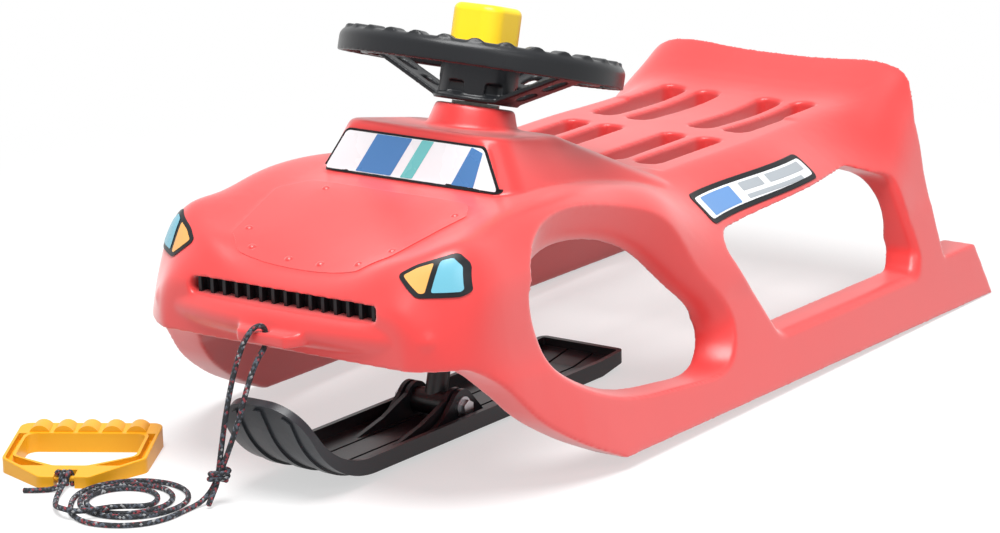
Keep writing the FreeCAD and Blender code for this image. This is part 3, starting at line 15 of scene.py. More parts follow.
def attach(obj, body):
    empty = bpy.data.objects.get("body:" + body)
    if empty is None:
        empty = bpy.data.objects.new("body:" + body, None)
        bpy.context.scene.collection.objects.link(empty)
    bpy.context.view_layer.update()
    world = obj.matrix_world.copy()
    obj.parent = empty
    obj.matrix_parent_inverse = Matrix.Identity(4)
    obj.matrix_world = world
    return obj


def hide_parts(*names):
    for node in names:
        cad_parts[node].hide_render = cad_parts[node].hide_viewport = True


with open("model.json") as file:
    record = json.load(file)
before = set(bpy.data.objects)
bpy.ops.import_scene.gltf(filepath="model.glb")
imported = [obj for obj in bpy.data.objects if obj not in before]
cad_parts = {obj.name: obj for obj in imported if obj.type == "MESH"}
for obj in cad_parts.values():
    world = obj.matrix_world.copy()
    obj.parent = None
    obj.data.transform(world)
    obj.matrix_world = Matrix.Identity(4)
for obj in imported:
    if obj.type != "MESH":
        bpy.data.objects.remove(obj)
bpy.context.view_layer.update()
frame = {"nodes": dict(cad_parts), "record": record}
scene = bpy.context.scene
nodes = frame["nodes"]

# Camera, found from the photo's perspective
CAMERA_PLACE = Vector((1.9333, -2.7028, 1.0195))
CAMERA_RIGHT = Vector((0.81004, 0.58552, -0.03154))
CAMERA_UP = Vector((-0.13198, 0.23447, 0.96312))
CAMERA_BACK = Vector((0.57132, -0.77601, 0.26721))
CAMERA_LENS = 144.0
CAMERA_SENSOR = 36.0
CAMERA_CLIP = (0.05, 50.0)

# Stance, in millimetres: the ski hangs below the runners, so the body is pitched nose up about their tails
TAIL_Y = 409.0
SKI_DROP = 7.0
SKI_TO_TAIL = 401.0
BODY_PITCH = math.atan(SKI_DROP / SKI_TO_TAIL)

# Studio: what the camera sees of the floor is lifted towards white, fully from the far distance on
FLOOR_REACH = 30.0
FLOOR_LIFT = 0.58
FLOOR_NEAR = 0.5
FLOOR_FAR = 1.1
FLOOR_COLOUR = (0.93, 0.93, 0.93, 1)
BOUNCE_COLOUR = (0.76, 0.76, 0.76, 1)
FLOOR_ROUGHNESS = 0.9
WORLD_LIGHT = 0.40
LIGHT_TARGET = Vector((0, 0, 0.1))
LIGHTS = (("top", Vector((0.3, -0.7, 2.4)), 1.6, 84), ("key", Vector((2.2, -1.2, 1.9)), 1.2, 9))

# Colours, as red, green and blue in linear light
RED = (0.70, 0.031, 0.030)
BLACK = (0.0105, 0.0115, 0.0135)
SLATE = (0.022, 0.0245, 0.029)
YELLOW = (0.95, 0.66, 0.012)
ORANGE = (0.78, 0.37, 0.012)
AMBER = (0.76, 0.37, 0.09)
PALE_BLUE = (0.13, 0.42, 0.54)
SCREEN_BLUE = (0.055, 0.21, 0.50)
SCREEN_PALE = (0.80, 0.90, 0.93)
SCREEN_TEAL = (0.14, 0.55, 0.56)
LABEL_GREY = (0.36, 0.39, 0.42)
LABEL_BLUE = (0.12, 0.27, 0.56)
WHITE = (0.86, 0.87, 0.88)
STEEL = (0.55, 0.56, 0.58)
ACETAL = (0.66, 0.65, 0.60)
CORD_DARK = (0.014, 0.016, 0.020)
CORD_GREY = (0.075, 0.090, 0.115)
CORD_RED = (0.24, 0.035, 0.045)
CORD_PALE = (0.30, 0.31, 0.32)

# Surface detail: a broad mottle, a fine moulded grain and the cord's braid
MOTTLE_SCALE = 18.0
MOTTLE_DETAIL = 4.0
ROUGHNESS_SPREAD = 0.05
COAT_ROUGHNESS = 0.25
GRAIN_SCALE = 900.0
GRAIN_DETAIL = 2.0
GRAIN_DEPTH = 0.0004
BRAID_STRANDS = 5.0
BRAID_ROUGHNESS = 0.75
BRAID_BUMP = 0.8
BRAID_DEPTH = 0.0006
BRAID_GREY_FROM = 0.62
BRAID_FLECKS = ((0.84, CORD_RED), (0.93, CORD_PALE))

# Tow cord
CORD_DIAMETER = 0.0045
CORD_SIDES = 12
CORD_END_SHARES = ((0.2, 0.9), (0.45, 0.55))
SPLINE_STEPS = 6
SPLINE_ORDER = 3

# Route of the tow cord, in millimetres, as in the part's source
HOLE_POINT = (0.0, -389.3, 134.0)
DOWN_ROUTE = ((0.0, -389.4, 127.0), (-1.2, -398.5, 119.5), (-3.5, -406.0, 106.0), (-6.5, -410.3, 91.0),
              (-10.0, -413.5, 74.0), (-17.0, -417.5, 52.0), (-25.0, -419.5, 32.0))
UP_ROUTE = ((0.0, -389.2, 142.5), (-3.5, -396.0, 144.6), (-8.5, -401.5, 138.0), (-13.5, -406.0, 124.0),
            (-18.5, -411.0, 102.0), (-22.5, -415.5, 76.0), (-26.0, -418.0, 52.0), (-29.0, -420.0, 30.0))
LEAD_ROUTE = ((-31.5, -422.0, 18.0), (-36.0, -426.0, 8.0), (-39.0, -436.0, 2.3), (-38.5, -454.0, 2.3),
              (-37.5, -472.0, 2.3), (-42.0, -489.0, 2.3), (-52.0, -502.0, 2.3), (-67.0, -511.0, 2.3),
              (-84.0, -515.0, 2.3), (-99.5, -511.5, 2.3), (-114.0, -503.0, 2.3))
TAIL_ROUTE = ((-30.5, -421.0, 18.0), (-29.5, -428.0, 11.0), (-29.0, -435.0, 3.5))
FREE_ROUTE = ((-160.0, -459.0, 5.0), (-163.0, -467.0, 2.6), (-172.0, -474.5, 2.3), (-183.0, -481.0, 2.3))

# Coil of the tow cord, in millimetres along and across its long axis
COIL_CENTRE = (-95.0, -455.0)
COIL_TURN = math.radians(35.8)
COIL_LEFTS = (-45.0, -38.5, -33.4)
COIL_RIGHTS = (47.5, 35.0, 23.0)
COIL_EXIT = -6.0
COIL_EXIT_TURN = 50.0
COIL_STEPS = 8
LEAD_STRAIGHT = 16.0
FLOOR_CORD = 2.3
END_ROUTE = ((-8.0, 31.2, 7.7), (-24.0, 38.5, 7.7), (-38.5, 42.0, 7.7), (-50.0, 32.5, 7.7),
             (-56.0, 18.0, 4.6), (-58.0, 3.0, 2.3), (-58.5, -12.0, 2.4), (-56.5, -25.0, 4.2),
             (-54.0, -35.5, 8.0))

# Knots of the tow cord: the two half axes of their oval turns, the climb per turn and the first angle
KNOT_STEPS = 20
KNOT_RADIUS = CORD_DIAMETER / 2 * 0.96
TOW_KNOT_CENTRE = Vector((-0.0295, -0.4200, 0.0235))
TOW_KNOT_AXES = (Vector((0.81, 0.585, 0.0)) * 0.0072, Vector((-0.55, 0.78, -0.1)) * 0.0052)
TOW_KNOT_CLIMB = Vector((0.0006, 0.0008, 0.0042))
TOW_KNOT_TURNS = 2.2
TOW_KNOT_START = 0.4
HITCH_CENTRE = Vector((-0.1653, -0.4514, 0.0074))
HITCH_AXES = (Vector((0.492, -0.870, 0.0)) * 0.0048, Vector((0, 0, 0.0048)))
HITCH_CLIMB = Vector((0.870, 0.492, 0.0)) * 0.0046
HITCH_TURNS = 2.6
HITCH_START = 1.2

# Softened pieces: voxel, rounds of smoothing and share of faces kept, worked at a turn off the voxel grid
BODY_SOFTNESS = (0.0013, 28, 0.14)
WHEEL_SOFTNESS = (0.0011, 9, 0.35)
SMOOTH_FACTOR = 0.5
OFF_GRID = Matrix.Rotation(0.6, 4, Vector((0.5, 0.3, 0.8)))
BODY_WELD = 0.00001

# Upper front of the side arches, in millimetres along, up and across the body's level frame
ARCH_GAP = ((-246, 120), (-251, 138), (-257, 152), (-258, 168), (-250, 178), (-237, 184), (-222, 187),
            (-205, 187.5), (-188, 186), (-172, 182), (-158, 174), (-150, 160), (-155, 140), (-230, 120))
ARCH_GAP_X = (151, 170)

# Well of the wheel's hub, from the wheel's centre along the column
WELL_SEAT = 0.022
WELL_RADIUS = 0.02885
WELL_FLOOR = -0.016
WELL_EDGE = 0.0045
WELL_SINK = 0.0025

# Bonnet panel, in millimetres across and along the body's level frame
BONNET = ((-60, -350), (60, -350), (79, -333), (96, -254), (80, -229), (-80, -229), (-96, -254), (-79, -333))
BONNET_LOW = 150.0
BONNET_HEIGHT = 185.0
BONNET_MARGIN = 0.0012
BONNET_LIFT = 0.0003
BONNET_WELD = 0.00002
BONNET_CREASE = math.radians(35)

# Printed films: each level lies a step above the last, and a skirt hangs round its rim
FILM_LIFT = 0.0008
FILM_STEP = 0.00025
FILM_LEVELS = 2
FILM_SKIRT = 0.0016
FILM_CELL = 0.003
FILM_WELD = 1e-7
FILL_INSIDE = 1
CELL_START_SHARE = 1 / 3
RIM_ROOM_SHARE = 0.45
CORNER_STEPS = 6
CORNER_REACH_SHARE = 0.45
SHARPEST_SHARE = 0.35

# Motifs of the films, in millimetres of the body's level frame: across and up in front, along and up beside
FRONT_START_Y = -450
SIDE_START_X = 260
SCREEN = ((-91, 205.5), (91, 205.5), (70.5, 241.5), (-70.5, 241.5))
SCREEN_BANDS = (("windscreen_band_wide", "deep", ((-56, 208), (-20, 208), (-2, 239.5), (-38, 239.5))),
                ("windscreen_band_thin", "teal", ((-10, 208), (2, 208), (20, 239.5), (8, 239.5))),
                ("windscreen_band_side", "deep", ((42, 208), (64, 208), (69.5, 236), (58, 239.5))))
LAMP = ((102.7, 175.7), (113.8, 183), (138.5, 191.8), (148.5, 183.5), (155, 164), (150.5, 160.6),
        (122.8, 160.2), (114, 166.6))
LAMP_AMBER = ((107.5, 175.4), (116, 181), (127, 185), (127, 163.6), (123.5, 163.4), (116.5, 168.5))
LAMP_PALE = ((131, 186.3), (138, 188.3), (145.5, 182), (150.5, 166), (149, 164.3), (131, 164))
LABEL = ((13, 165), (188, 166.2), (190, 147.5), (16, 142.5))
LABEL_BLOCK = ((26, 160.5), (74, 160.9), (74, 148.3), (27, 147))
LABEL_BARS = (("side_label_bar_first", ((86, 160.8), (116, 161), (116, 155), (86, 154.8))),
              ("side_label_bar_second", ((124, 161), (178, 161.4), (179, 155.4), (124, 155))),
              ("side_label_bar_third", ((86, 152), (168, 152.8), (168.5, 150), (86, 149))))

# Rims and corner radii of the motifs
SCREEN_RIM = 0.0018
LABEL_RIM = 0.0032
SCREEN_CORNER = 0.005
LAMP_CORNER = 0.004
LABEL_CORNER = 0.006
FIELD_CORNER = 0.004
LENS_CORNER = 0.002
BLOCK_CORNER = 0.0015
BAND_CORNER = 0.001


def body_point(x, y, z):
    """A point of the body's level frame, in millimetres, as a point of the row frame in metres."""
    back = (y - TAIL_Y) / 1000
    up = z / 1000
    cos, sin = math.cos(BODY_PITCH), math.sin(BODY_PITCH)
    return Vector((x / 1000, TAIL_Y / 1000 + back * cos + up * sin, up * cos - back * sin))


def metres(points):
    return [Vector(point) / 1000 for point in points]


# Materials
def new_material(name):
    material = bpy.data.materials.new(name)
    material.use_nodes = True
    return material, material.node_tree, material.node_tree.nodes["Principled BSDF"]


def shader(name, colour, roughness, metallic=0.0, bump=0.0, tint=0.04, coat=0.0, sheen=0.0, shine=0.5):
    """A plain procedural material: a faint mottle in its colour and roughness, and a fine moulded grain."""
    material, tree, surface = new_material(name)
    surface.inputs["Metallic"].default_value = metallic
    surface.inputs["Coat Weight"].default_value = coat
    surface.inputs["Coat Roughness"].default_value = COAT_ROUGHNESS
    surface.inputs["Sheen Weight"].default_value = sheen
    surface.inputs["Specular IOR Level"].default_value = shine
    place = tree.nodes.new("ShaderNodeTexCoord")
    mottle = tree.nodes.new("ShaderNodeTexNoise")
    mottle.inputs["Scale"].default_value = MOTTLE_SCALE
    mottle.inputs["Detail"].default_value = MOTTLE_DETAIL
    tree.links.new(place.outputs["Object"], mottle.inputs["Vector"])
    blend = tree.nodes.new("ShaderNodeMix")
    blend.data_type = "RGBA"
    blend.inputs["A"].default_value = (*[part * (1 - tint) for part in colour], 1)
    blend.inputs["B"].default_value = (*[min(1, part * (1 + tint)) for part in colour], 1)
    tree.links.new(mottle.outputs["Fac"], blend.inputs["Factor"])
    tree.links.new(blend.outputs["Result"], surface.inputs["Base Color"])
    rough = tree.nodes.new("ShaderNodeMapRange")
    rough.inputs["To Min"].default_value = roughness - ROUGHNESS_SPREAD
    rough.inputs["To Max"].default_value = roughness + ROUGHNESS_SPREAD
    tree.links.new(mottle.outputs["Fac"], rough.inputs["Value"])
    tree.links.new(rough.outputs["Result"], surface.inputs["Roughness"])
    if bump:
        grain = tree.nodes.new("ShaderNodeTexNoise")
        grain.inputs["Scale"].default_value = GRAIN_SCALE
        grain.inputs["Detail"].default_value = GRAIN_DETAIL
        tree.links.new(place.outputs["Object"], grain.inputs["Vector"])
        relief = tree.nodes.new("ShaderNodeBump")
        relief.inputs["Strength"].default_value = bump
        relief.inputs["Distance"].default_value = GRAIN_DEPTH
        tree.links.new(grain.outputs["Fac"], relief.inputs["Height"])
        tree.links.new(relief.outputs["Normal"], surface.inputs["Normal"])
    return material


def braid_shader(name):
    """A braided cord: crossing strands as lozenges round the tube, with coloured flecks among dark ones."""
    material, tree, surface = new_material(name)
    add = tree.nodes.new
    link = tree.links.new
    surface.inputs["Roughness"].default_value = BRAID_ROUGHNESS
    place = add("ShaderNodeUVMap")
    split = add("ShaderNodeSeparateXYZ")
    link(place.outputs["UV"], split.inputs["Vector"])

    def math_node(kind, first, second=None):
        node = add("ShaderNodeMath")
        node.operation = kind
        for socket, value in zip(node.inputs, (first, second)):
            if isinstance(value, float):
                socket.default_value = value
            elif value is not None:
                link(value, socket)
        return node.outputs["Value"]

    around = math_node("MULTIPLY", split.outputs["X"], BRAID_STRANDS)
    along = math_node("MULTIPLY", split.outputs["Y"], BRAID_STRANDS)
    first = math_node("ADD", around, along)
    second = math_node("SUBTRACT", around, along)
    cell = add("ShaderNodeCombineXYZ")
    link(math_node("FLOOR", first), cell.inputs["X"])
    link(math_node("FLOOR", second), cell.inputs["Y"])
    chance = add("ShaderNodeTexWhiteNoise")
    chance.noise_dimensions = "2D"
    link(cell.outputs["Vector"], chance.inputs["Vector"])
    ramp = add("ShaderNodeValToRGB")
    ramp.color_ramp.interpolation = "CONSTANT"
    stops = ramp.color_ramp.elements
    stops[0].color = (*CORD_DARK, 1)
    stops[1].position = BRAID_GREY_FROM
    stops[1].color = (*CORD_GREY, 1)
    for position, colour in BRAID_FLECKS:
        stops.new(position).color = (*colour, 1)
    link(chance.outputs["Value"], ramp.inputs["Fac"])
    link(ramp.outputs["Color"], surface.inputs["Base Color"])
    waves = []
    for value in (first, second):
        turned = math_node("MULTIPLY", value, math.pi)
        waves.append(math_node("ABSOLUTE", math_node("SINE", turned)))
    relief = add("ShaderNodeBump")
    relief.inputs["Strength"].default_value = BRAID_BUMP
    relief.inputs["Distance"].default_value = BRAID_DEPTH
    link(math_node("MULTIPLY", *waves), relief.inputs["Height"])
    link(relief.outputs["Normal"], surface.inputs["Normal"])
    return material


red = shader("red_plastic", RED, 0.36, bump=0.08, sheen=0.5, shine=0.6)
black = shader("black_plastic", BLACK, 0.32, bump=0.10, tint=0.12, shine=0.3)
slate = shader("slate_plastic", SLATE, 0.32, bump=0.10, tint=0.12, shine=0.35)
yellow = shader("yellow_plastic", YELLOW, 0.36, bump=0.06)
orange = shader("orange_plastic", ORANGE, 0.38, bump=0.06, shine=0.3)
steel = shader("zinc_steel", STEEL, 0.30, metallic=1.0, bump=0.15)
acetal = shader("bush_plastic", ACETAL, 0.5)
column_black = shader("black_steel", BLACK, 0.35)
rubber = shader("black_rubber", BLACK, 0.7)
print_black = shader("print_black", BLACK, 0.30, shine=0.2)
print_white = shader("print_white", WHITE, 0.32)
print_amber = shader("print_amber", AMBER, 0.25, coat=0.3)
print_blue = shader("print_blue", PALE_BLUE, 0.25, coat=0.3)
print_grey = shader("print_grey", LABEL_GREY, 0.35)
print_label = shader("print_label", LABEL_BLUE, 0.35)
print_deep = shader("print_deep", SCREEN_BLUE, 0.28, coat=0.2)
print_pale = shader("print_pale", SCREEN_PALE, 0.28, coat=0.2)
print_teal = shader("print_teal", SCREEN_TEAL, 0.28, coat=0.2)
braid = braid_shader("cord_braid")

NODE_MATERIALS = {
    "body_shell": red, "windscreen_panel": print_deep, "left_headlight": print_black,
    "right_headlight": print_black, "side_label": print_black, "intake_grille": black,
    "upper_column_bush": acetal, "lower_column_bush": acetal, "tow_handle": orange, "steering_wheel": black,
    "steering_column": column_black, "wheel_screw": steel, "wheel_washer": steel, "horn_squeaker": rubber,
    "retaining_pin": steel, "thrust_washer": acetal, "front_ski": slate, "pivot_bolt": steel,
    "pivot_nut": steel, "bolt_washers": steel, "horn_button": yellow,
}
for name, material in NODE_MATERIALS.items():
    nodes[name].data.materials.clear()
    nodes[name].data.materials.append(material)


# Camera, light and floor
def add_camera():
    data = bpy.data.cameras.new("camera")
    data.lens = CAMERA_LENS
    data.sensor_width = CAMERA_SENSOR
    data.clip_start, data.clip_end = CAMERA_CLIP
    camera = bpy.data.objects.new("camera", data)
    camera.matrix_world = Matrix((CAMERA_RIGHT, CAMERA_UP, CAMERA_BACK)).transposed().to_4x4()
    camera.location = CAMERA_PLACE
    scene.collection.objects.link(camera)
    scene.camera = camera


def add_light(name, place, size, power):
    data = bpy.data.lights.new(name, "AREA")
    data.shape = "DISK"
    data.size = size
    data.energy = power
    light = bpy.data.objects.new(name, data)
    light.location = place
    light.rotation_mode = "QUATERNION"
    light.rotation_quaternion = (place - LIGHT_TARGET).to_track_quat("Z", "Y")
    scene.collection.objects.link(light)


def seen_share(tree):
    """1 where a ray from the camera, or its mirrored one, looks straight at a surface, and 0 elsewhere."""
    rays = tree.nodes.new("ShaderNodeLightPath")
    total = rays.outputs["Is Camera Ray"]
    for kind in ("Is Glossy Ray", "Is Transmission Ray"):
        either = tree.nodes.new("ShaderNodeMath")
        either.operation = "MAXIMUM"
        tree.links.new(total, either.inputs[0])
        tree.links.new(rays.outputs[kind], either.inputs[1])
        total = either.outputs["Value"]
    return total


def add_floor():
    """A plain white floor that lights the sled from below a little less than its own white would."""
    mesh = bpy.data.meshes.new("floor")
    reach = FLOOR_REACH
    corners = [(-reach, -reach, 0), (reach, -reach, 0), (reach, reach, 0), (-reach, reach, 0)]
    mesh.from_pydata(corners, [], [(0, 1, 2, 3)])
    floor = bpy.data.objects.new("floor", mesh)
    material, tree, matt = new_material("floor")
    seen = seen_share(tree)
    colour = tree.nodes.new("ShaderNodeMix")
    colour.data_type = "RGBA"
    colour.inputs["A"].default_value = BOUNCE_COLOUR
    colour.inputs["B"].default_value = FLOOR_COLOUR
    tree.links.new(seen, colour.inputs["Factor"])
    tree.links.new(colour.outputs["Result"], matt.inputs["Base Color"])
    matt.inputs["Roughness"].default_value = FLOOR_ROUGHNESS
    matt.inputs["Specular IOR Level"].default_value = 0.0
    glow = tree.nodes.new("ShaderNodeEmission")
    glow.inputs["Strength"].default_value = 1.0
    place = tree.nodes.new("ShaderNodeTexCoord")
    distance = tree.nodes.new("ShaderNodeVectorMath")
    distance.operation = "LENGTH"
    tree.links.new(place.outputs["Object"], distance.inputs[0])
    lift = tree.nodes.new("ShaderNodeMapRange")
    lift.interpolation_type = "SMOOTHSTEP"
    lift.inputs["From Min"].default_value = FLOOR_NEAR
    lift.inputs["From Max"].default_value = FLOOR_FAR
    lift.inputs["To Min"].default_value = FLOOR_LIFT
    lift.inputs["To Max"].default_value = 1.0
    tree.links.new(distance.outputs["Value"], lift.inputs["Value"])
    share = tree.nodes.new("ShaderNodeMath")
    share.operation = "MULTIPLY"
    tree.links.new(seen, share.inputs[0])
    tree.links.new(lift.outputs["Result"], share.inputs[1])
    blend = tree.nodes.new("ShaderNodeMixShader")
    tree.links.new(share.outputs["Value"], blend.inputs["Fac"])
    tree.links.new(matt.outputs["BSDF"], blend.inputs[1])
    tree.links.new(glow.outputs["Emission"], blend.inputs[2])
    tree.links.new(blend.outputs["Shader"], tree.nodes["Material Output"].inputs["Surface"])
    mesh.materials.append(material)
    scene.collection.objects.link(floor)


def add_world():
    """A white studio: full white to the camera and in reflections, and a softer light on the sled."""
    world = bpy.data.worlds.new("world")
    world.use_nodes = True
    tree = world.node_tree
    back = tree.nodes["Background"]
    back.inputs["Color"].default_value = (1, 1, 1, 1)
    power = tree.nodes.new("ShaderNodeMapRange")
    power.inputs["To Min"].default_value = WORLD_LIGHT
    power.inputs["To Max"].default_value = 1.0
    tree.links.new(seen_share(tree), power.inputs["Value"])
    tree.links.new(power.outputs["Result"], back.inputs["Strength"])
    scene.world = world


# Objects from meshes
def mesh_object(name, mesh):
    data = bpy.data.meshes.new(name)
    mesh.to_mesh(data)
    mesh.free()
    made = bpy.data.objects.new(name, data)
    scene.collection.objects.link(made)
    return made


def body_piece(name, mesh, material):
    """A piece that rides on the sled's body, in the material it is given."""
    piece = mesh_object(name, mesh)
    piece.data.materials.append(material)
    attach(piece, "sled_body")
    return piece


def apply_modifiers(piece):
    made = bpy.data.meshes.new_from_object(piece.evaluated_get(bpy.context.evaluated_depsgraph_get()))
    piece.modifiers.clear()
    piece.data = made


# Tow cord
def coil_point(along, across, height=FLOOR_CORD):
    cos, sin = math.cos(COIL_TURN), math.sin(COIL_TURN)
    x = COIL_CENTRE[0] + along * cos + across * sin
    y = COIL_CENTRE[1] + along * sin - across * cos
    return (x, y, height)


def half_turn(start, end, side):
    """Control points of half a loop of the coil, between two places on its long axis."""
    step = math.pi / COIL_STEPS
    middle = (start + end) / 2
    reach = (end - start) / 2 / math.cos(step / 2)
    points = []
    for index in range(COIL_STEPS):
        angle = (index + 0.5) * step
        points.append(coil_point(middle - reach * math.cos(angle), side * abs(reach) * math.sin(angle)))
    return points


def coil_exit(turn, spread):
    reach = (COIL_RIGHTS[-1] - COIL_EXIT) * spread
    angle = math.radians(turn)
    return coil_point(COIL_EXIT + reach * math.cos(angle), reach * math.sin(angle))


def coil_route():
    points = [coil_point(COIL_LEFTS[0], LEAD_STRAIGHT)]
    for index, left in enumerate(COIL_LEFTS):
        points += half_turn(left, COIL_RIGHTS[index], -1)
        if index + 1 < len(COIL_LEFTS):
            points += half_turn(COIL_RIGHTS[index], COIL_LEFTS[index + 1], 1)
    step = COIL_EXIT_TURN / 2
    spread = 1 / math.cos(math.radians(step / 2))
    points += [coil_exit(step / 2, spread), coil_exit(step * 1.5, spread)]
    return points + [coil_point(along, across, height) for along, across, height in END_ROUTE]


def spline_line(name, points):
    """Points along a route's smooth line, read from its NURBS spline."""
    data = bpy.data.curves.new(name, "CURVE")
    data.dimensions = "3D"
    data.resolution_u = SPLINE_STEPS
    spline = data.splines.new("NURBS")
    spline.points.add(len(points) - 1)
    for place, point in zip(spline.points, points):
        place.co = (*point, 1)
    spline.order_u = SPLINE_ORDER
    spline.use_endpoint_u = True
    curve = bpy.data.objects.new(name, data)
    mesh = bpy.data.meshes.new_from_object(curve)
    line = [vertex.co.copy() for vertex in mesh.vertices]
    bpy.data.objects.remove(curve)
    bpy.data.curves.remove(data)
    bpy.data.meshes.remove(mesh)
    return line


def tube_rings(mesh, line, radius):
    """Rings of points round a line, with smaller ones past its two ends, and how far along each ring lies."""
    rings = []
    runs = []
    across = None
    run = 0.0
    for index, point in enumerate(line):
        ahead = line[min(index + 1, len(line) - 1)] - line[max(index - 1, 0)]
        ahead.normalize()
        if across is None:
            across = ahead.orthogonal()
        across = (across - ahead * across.dot(ahead)).normalized()
        other = ahead.cross(across)
        if index:
            run += (point - line[index - 1]).length
        steps = [(0.0, 1.0)]
        if index == 0:
            steps = [(-push, size) for push, size in reversed(CORD_END_SHARES)] + steps
        if index == len(line) - 1:
            steps += CORD_END_SHARES
        for push, size in steps:
            ring = []
            for side in range(CORD_SIDES):
                angle = 2 * math.pi * side / CORD_SIDES
                reach = (across * math.cos(angle) + other * math.sin(angle)) * radius * size
                ring.append(mesh.verts.new(point + ahead * push * radius + reach))
            rings.append(ring)
            runs.append(run + push * radius)
    return rings, runs


def tube_mesh(line, radius):
    """A round tube with closed, rounded ends; its texture runs round and along it at one scale."""
    mesh = bmesh.new()
    layer = mesh.loops.layers.uv.verify()
    rings, runs = tube_rings(mesh, line, radius)
    round_length = 2 * math.pi * radius
    for first, second, low, high in zip(rings, rings[1:], runs, runs[1:]):
        for side in range(CORD_SIDES):
            after = (side + 1) % CORD_SIDES
            face = mesh.faces.new((first[side], first[after], second[after], second[side]))
            face.smooth = True
            spots = ((side, low), (side + 1, low), (side + 1, high), (side, high))
            for loop, (turn, place) in zip(face.loops, spots):
                loop[layer].uv = (turn / CORD_SIDES, place / round_length)
    mesh.faces.new(list(reversed(rings[0])))
    mesh.faces.new(rings[-1])
    return mesh


def cord_piece(name, line, replaced, radius=CORD_DIAMETER / 2):
    piece = body_piece(name, tube_mesh(line, radius), braid)
    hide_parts(*replaced)
    return piece


def knot_line(centre, axes, climb, turns, start):
    """A few turns of an oval helix about a centre."""
    first, second = axes
    points = []
    for index in range(int(turns * KNOT_STEPS) + 1):
        angle = start + 2 * math.pi * index / KNOT_STEPS
        share = index / KNOT_STEPS - turns / 2
        points.append(centre + first * math.cos(angle) + second * math.sin(angle) + climb * share)
    return points


def add_cords():
    pull = spline_line("pull", metres((HOLE_POINT, *DOWN_ROUTE, *LEAD_ROUTE, *coil_route())))
    loop = spline_line("loop", metres((HOLE_POINT, *UP_ROUTE, *TAIL_ROUTE)))
    free = spline_line("free", metres(FREE_ROUTE))
    pull_cord = cord_piece("tow_cord_braid", pull, ("tow_cord",))
    loop_cord = cord_piece("tow_loop_braid", loop, ("tow_cord_loop", "tow_knot_tail"))
    free_cord = cord_piece("handle_cord_end", free, ("handle_knot_tail",))
    turns = knot_line(TOW_KNOT_CENTRE, TOW_KNOT_AXES, TOW_KNOT_CLIMB, TOW_KNOT_TURNS, TOW_KNOT_START)
    knot = cord_piece("tow_cord_knot", turns, ("tow_knot",), KNOT_RADIUS)
    turns = knot_line(HITCH_CENTRE, HITCH_AXES, HITCH_CLIMB, HITCH_TURNS, HITCH_START)
    hitch = cord_piece("handle_cord_knot", turns, ("handle_knot",), KNOT_RADIUS)


# Moulded pieces
def soften(piece, voxel, rounds, share):
    """Round a closed form's edges off evenly and keep a share of its faces."""
    piece.data.transform(OFF_GRID)
    remesh = piece.modifiers.new("remesh", "REMESH")
    remesh.mode = "VOXEL"
    remesh.voxel_size = voxel
    smooth = piece.modifiers.new("smooth", "SMOOTH")
    smooth.factor = SMOOTH_FACTOR
    smooth.iterations = rounds
    fewer = piece.modifiers.new("fewer", "DECIMATE")
    fewer.ratio = share
    apply_modifiers(piece)
    piece.data.transform(OFF_GRID.inverted())
    piece.data.shade_smooth()


def finish_moulded(piece, material, body, node):
    piece.data.materials.clear()
    piece.data.materials.append(material)
    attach(piece, body)
    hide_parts(node)


def arch_blocks():
    """A straight block on each side of the body, over the upper front of its arch."""
    mesh = bmesh.new()
    for side in (1, -1):
        inner, outer = [[mesh.verts.new(body_point(side * x, y, z)) for y, z in ARCH_GAP] for x in ARCH_GAP_X]
        mesh.faces.new(inner)
        mesh.faces.new(list(reversed(outer)))
        for index in range(len(ARCH_GAP)):
            after = (index + 1) % len(ARCH_GAP)
            mesh.faces.new((inner[after], inner[index], outer[index], outer[after]))
    bmesh.ops.recalc_face_normals(mesh, faces=mesh.faces)
    return mesh


def open_arches(piece):
    """Cut out the thin leaf of wall that the CAD body has across the upper front of each side arch."""
    cutter = mesh_object("arch_gap", arch_blocks())
    cut = piece.modifiers.new("cut", "BOOLEAN")
    cut.operation = "DIFFERENCE"
    cut.object = cutter
    apply_modifiers(piece)
    bpy.data.objects.remove(cutter)


def moulded_body():
    """The body's soft moulded skin: the CAD shell and its panels as one form."""
    whole = bmesh.new()
    whole.from_mesh(nodes["body_shell"].data)
    bmesh.ops.remove_doubles(whole, verts=whole.verts, dist=BODY_WELD)
    piece = mesh_object("moulded_body", whole)
    open_arches(piece)
    joined = bmesh.new()
    joined.from_mesh(piece.data)
    for name in ("windscreen_panel", "left_headlight", "right_headlight", "side_label"):
        joined.from_mesh(nodes[name].data)
    joined.to_mesh(piece.data)
    joined.free()
    soften(piece, *BODY_SOFTNESS)
    finish_moulded(piece, red, "sled_body", "body_shell")
    return piece


def clear_well(piece):
    """Sink the hub well's softened floor round its edge, so that the pressed horn button stays clear."""
    steer = next(joint for joint in frame["record"]["behaviour"]["joints"] if joint["name"] == "steer")
    centre = Vector(steer["pos_m"])
    axis = Vector(steer["axis"]).normalized()
    for vertex in piece.data.vertices:
        offset = vertex.co - centre
        height = offset.dot(axis)
        radius = (offset - axis * height).length
        if WELL_SEAT < radius < WELL_RADIUS and abs(height - WELL_FLOOR) < WELL_EDGE:
            vertex.co -= axis * WELL_SINK


def moulded_wheel():
    """The steering wheel with softly rounded edges."""
    whole = bmesh.new()
    whole.from_mesh(nodes["steering_wheel"].data)
    piece = mesh_object("moulded_wheel", whole)
    soften(piece, *WHEEL_SOFTNESS)
    clear_well(piece)
    finish_moulded(piece, black, "steering", "steering_wheel")


# Flat outlines
def sides_of(outline):
    return zip(outline, outline[1:] + outline[:1])


